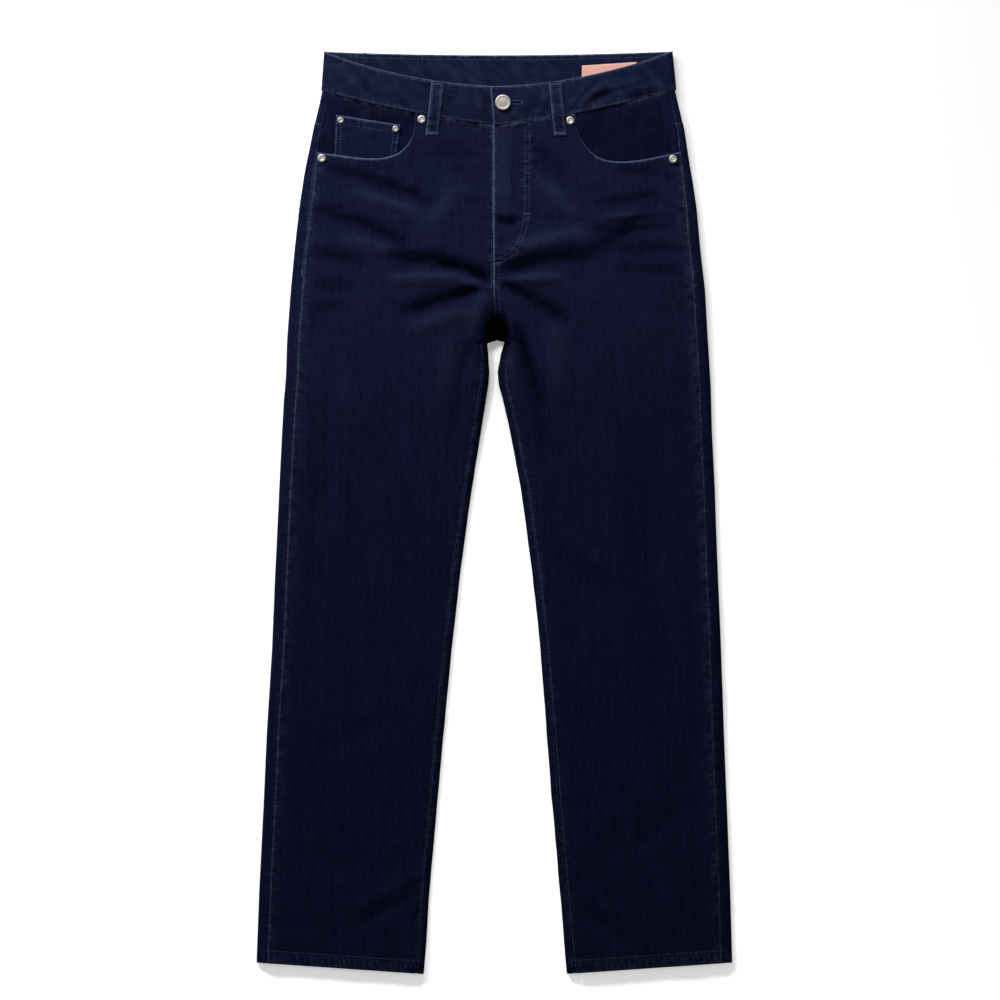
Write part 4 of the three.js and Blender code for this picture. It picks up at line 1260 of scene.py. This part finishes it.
def stitchFronts():
    thread = Thread("thread_fronts")
    thread.lie(*fronts.values(), *backs.values(), *yokes.values())
    for side in legs:
        for gap in (1.9, 7.6):
            thread.row(offsetLine(mouthLine(side), gap * side)[6:-4])
        thread.row([(float(sideSeamX(side, y)) + side * 1.7, y) for y in np.arange(192, 72, -2.0)])
        thread.bartack(float(sideSeamX(side, 73)) + side * 1.7, 73, math.pi / 2)
        thread.bartack(side * 192.5, 206.5 if side < 0 else 206, 0.1, 7)
        thread.row([(float(frontInnerX(side, y)) + side * 1.6, y) for y in np.arange(-24, -684, -2.5)])
        thread.row(hemRow(side))
    for gap in (0.0, 5.0):
        thread.row(smoothLine(flyRow(gap, 231)))
    thread.row([(-2.4, y) for y in np.arange(232, 44, -2.0)])
    for gap in (1.8, 6.6):
        thread.row([(float(frontInnerX(leftLeg, y)) + gap, y) for y in np.arange(80, 26, -2.0)])
    thread.bartack(-1.5, 84, 0.2)
    thread.bartack(33, 138, 0.15, 8)
    thread.finish()


def stitchBand():
    thread = Thread("thread_waistband")
    thread.lie(waistband)
    for curve, gap in ((frontTopY, -2.6), (frontSeamY, 2.4)):
        thread.row(rowAlong(curve, gap, np.arange(-3, 181, 3.0)))
        thread.row(rowAlong(curve, gap, np.arange(-12, -179, -3.0)))
    shares = np.linspace(0, 1, 14)
    thread.row([(mixed(flyEnd["topX"], flyEnd["lowX"], t) + 2.4, mixed(272, 238.5, t)) for t in shares])
    # inside of the back band, seen through the waist
    thread.row(rowAlong(backTopY, -5.2, np.arange(-184, 186, 3.0)))
    # buttonhole whipping
    for x in np.arange(buttonhole["x"] + 3.6, buttonhole["end"], 0.62):
        for up in (1, -1):
            thread.put(x, buttonhole["y"] + up * 1.75, math.pi / 2, 1.5, 0.24)
    for k in range(5):
        thread.put(buttonhole["end"] + 0.6, buttonhole["y"] + (k - 2) * 0.6, 0, 1.9, 0.3, 0.1)
    thread.finish()


# Two rows down a belt loop and a bar tack across each end that is seen.
def stitchLoop(thread, name, tacks):
    place = strapPlaces[name]
    topY, lowY = strapEnds(place["middle"], place["front"])
    thread.lie(loops[name])
    for shift in (-4.0, 4.0):
        shares = np.linspace(0.05, 0.95, 20)
        thread.row([(place["middle"] + place["lean"] * t + shift, mixed(topY, lowY, t)) for t in shares])
    for t in tacks:
        thread.bartack(place["middle"] + place["lean"] * t, mixed(topY, lowY, t), 0, 11)


def stitchLoops():
    thread = Thread("thread_belt_loops")
    for name in ("belt_loop_front_right", "belt_loop_front_left"):
        stitchLoop(thread, name, (0.955, 0.05))
    thread.finish()


def stitchCoin():
    thread = Thread("thread_coin_pocket")
    thread.lie(coinPocket)
    shares = np.linspace(0.02, 0.98, 30)
    topLine = [(mixed(coin["left"], coin["right"], t), mixed(coin["leftY"], coin["rightY"], t))
               for t in shares]
    for gap in (1.8, 9.0):
        thread.row(offsetLine(topLine, -gap))
    for edge, inward in (("left", 1), ("right", -1)):
        for gap in (1.6, 6.0):
            thread.row([(mixed(coin[edge], coinLow[edge], t) + inward * gap,
                         mixed(coin[edge + "Y"] - 2, coin["low"] + 3, t)) for t in np.linspace(0, 1, 20)])
    thread.finish()


def stitchBack():
    thread = Thread("thread_back", under=True)
    thread.lie(*backs.values(), *yokes.values(), waistband)
    for side in legs:
        for gap in (1.8, 7.0):
            thread.row(rowAlong(yokeY, gap, np.arange(2, 183, 3.0) * side))
        thread.row(hemRow(side))
    for x in (2.0, 7.4):
        thread.row([(x, y) for y in np.arange(266, 8, -2.5)])
    for curve, gap in ((backTopY, -2.6), (backSeamY, 2.4)):
        thread.row(rowAlong(curve, gap, np.arange(-186, 186, 3.0)))
    thread.lie(*rearPockets.values())
    middle, top, rise, low = rear["middle"], rear["top"], rear["rise"], rear["low"]
    for side in legs:
        for gap in (2.0, 8.0):
            topHalf, lowHalf = rear["topHalf"] - gap, rear["lowHalf"] - gap
            shoulderY = low + rear["point"] + gap * 0.3
            corners = [(middle - topHalf, top), (middle - lowHalf, shoulderY), (middle, low + gap * 1.08),
                       (middle + lowHalf, shoulderY), (middle + topHalf, top + rise)]
            for a, b in zip(corners, corners[1:]):
                shares = np.linspace(0.02, 0.98, 20)
                thread.row([(side * mixed(a[0], b[0], t), mixed(a[1], b[1], t)) for t in shares])
        for gap in (2.5, 13.0):
            inner = middle - rear["topHalf"]
            thread.row([(side * x, mixed(top, top + rise, (x - inner) / rear["wide"]) - gap)
                        for x in np.linspace(42, 168, 30)])
    for name, place in strapPlaces.items():
        if not place["front"]:
            stitchLoop(thread, name, ())
            thread.bartack(place["middle"], strapEnds(place["middle"], False)[1] + 3, 0, 11)
    thread.finish()


for make in (stitchFronts, stitchBand, stitchLoops, stitchCoin, stitchBack):
    make()

print("floor, light and camera")
stage = {"floorSize": 12, "floorDrop": 0.0004, "viewDistance": 6.0, "viewWidth": 1.1, "centreX": 0.00618,
         "centreY": 0.01402}
# The key lamp's light on the floor is about firstLight at the middle and grows by growth for each metre
# towards the waist. The camera sees white, of which the part that can fall into shadow is up to shadowed.
floorLight = {"firstLight": 0.685, "growth": 2.604, "shadowed": 0.6, "mostColour": 1.4, "white": 1.05,
              "betweenLegs": 0.77, "from": 0.8, "to": 1.1}
lamps = [
    ("key", (-1.35, 1.75, 1.05), (0.0, 0.15, 0), 0.45, 56),
    ("top", (-0.15, 1.25, 0.62), (0.0, 0.3, 0), 0.5, 13),
    ("fill", (1.2, 0.4, 2.4), (0.0, 0.1, 0), 1.6, 5),
]


def lightPathWhite(tree, x, y):
    path = addNode(tree, "ShaderNodeLightPath", x, y).outputs
    seen = mathNode(tree, x + 200, y, "MAXIMUM", path["Is Camera Ray"], path["Is Glossy Ray"])
    return mathNode(tree, x + 400, y, "MAXIMUM", seen, path["Is Transmission Ray"])


def paperFinish():
    paper, tree, shader = newMaterial("white paper")
    tree.nodes.remove(shader)
    where = objectPlace(tree, -1600, -200)
    upwards = separateNode(tree, -1400, -200, where)["Y"]
    growth = mathNode(tree, -1200, -200, "POWER", floorLight["growth"], upwards)
    light = mathNode(tree, -1000, -200, "MULTIPLY", growth, floorLight["firstLight"])
    share = mathNode(tree, -800, -100, "DIVIDE", floorLight["shadowed"], light)
    capped = mathNode(tree, -600, -100, "MINIMUM", share, floorLight["mostColour"])
    # far from the cloth there is no shadow to keep, so all of the white is glow
    away = lengthNode(tree, -1200, -450, where)
    nearby = rangeNode(tree, -1000, -450, away, floorLight["from"], floorLight["to"], 1, 0)
    colour = mathNode(tree, -400, -100, "MULTIPLY", capped, nearby)
    # painted shadow on the floor: little light gets down between the legs
    between = mappingNode(tree, -1200, -650, where, Location=(-0.083, -0.94, 0), Scale=(33, 6.25, 1))
    depth = lengthNode(tree, -1000, -650, between)
    aim = rangeNode(tree, -800, -650, depth, toMin=floorLight["betweenLegs"], toMax=floorLight["white"])
    seen = mathNode(tree, -400, -300, "MULTIPLY", colour, light)
    glow = addNode(tree, "ShaderNodeEmission", 0, -200)
    feed(tree, glow, {"Strength": mathNode(tree, -200, -300, "SUBTRACT", aim, seen)})
    bright = addNode(tree, "ShaderNodeBsdfDiffuse", 0, -50, {"Color": colour})
    plain = addNode(tree, "ShaderNodeBsdfDiffuse", 0, 100, {"Color": (0.75, 0.75, 0.75, 1)})
    lit = addNode(tree, "ShaderNodeAddShader", 200, -100, {0: bright.outputs[0], 1: glow.outputs[0]})
    picked = {0: lightPathWhite(tree, -600, 300), 1: plain.outputs[0], 2: lit.outputs[0]}
    mix = addNode(tree, "ShaderNodeMixShader", 400, 0, picked)
    feed(tree, tree.nodes["Material Output"], {"Surface": mix.outputs[0]})
    return paper


def makeFloor():
    bm = bmesh.new()
    bmesh.ops.create_grid(bm, x_segments=1, y_segments=1, size=stage["floorSize"] / 2)
    bmesh.ops.translate(bm, verts=bm.verts, vec=(0, 0, -stage["floorDrop"]))
    floor = newObject("floor", bm)
    floor.data.materials.append(paperFinish())


def makeRoom():
    world = bpy.data.worlds.new("studio")
    world.use_nodes = True
    sky = world.node_tree
    room = sky.nodes["Background"]
    feed(sky, room, {"Color": (1, 1, 1, 1), "Strength": 0.10})
    white = addNode(sky, "ShaderNodeBackground", 0, -200, {"Strength": 1})
    picked = {0: lightPathWhite(sky, -700, 300), 1: room.outputs[0], 2: white.outputs[0]}
    mix = addNode(sky, "ShaderNodeMixShader", 300, 0, picked)
    feed(sky, sky.nodes["World Output"], {"Surface": mix.outputs[0]})
    bpy.context.scene.world = world
    for name, spot, aim, size, power in lamps:
        lamp = bpy.data.lights.new(name, "AREA")
        lamp.shape = "DISK"
        lamp.size = size
        lamp.energy = power
        lampObject = bpy.data.objects.new(name, lamp)
        lampObject.location = spot
        lampObject.rotation_euler = (Vector(aim) - Vector(spot)).to_track_quat("-Z", "Y").to_euler()
        bpy.context.collection.objects.link(lampObject)


def makeCamera():
    camera = bpy.data.cameras.new("camera")
    camera.lens = camera.sensor_width * stage["viewDistance"] / stage["viewWidth"]
    camera.clip_end = 40
    cameraObject = bpy.data.objects.new("camera", camera)
    cameraObject.location = (stage["centreX"], stage["centreY"], stage["viewDistance"])
    bpy.context.collection.objects.link(cameraObject)
    bpy.context.scene.camera = cameraObject
    bpy.context.scene.view_settings.view_transform = "Standard"


makeFloor()
makeRoom()
makeCamera()
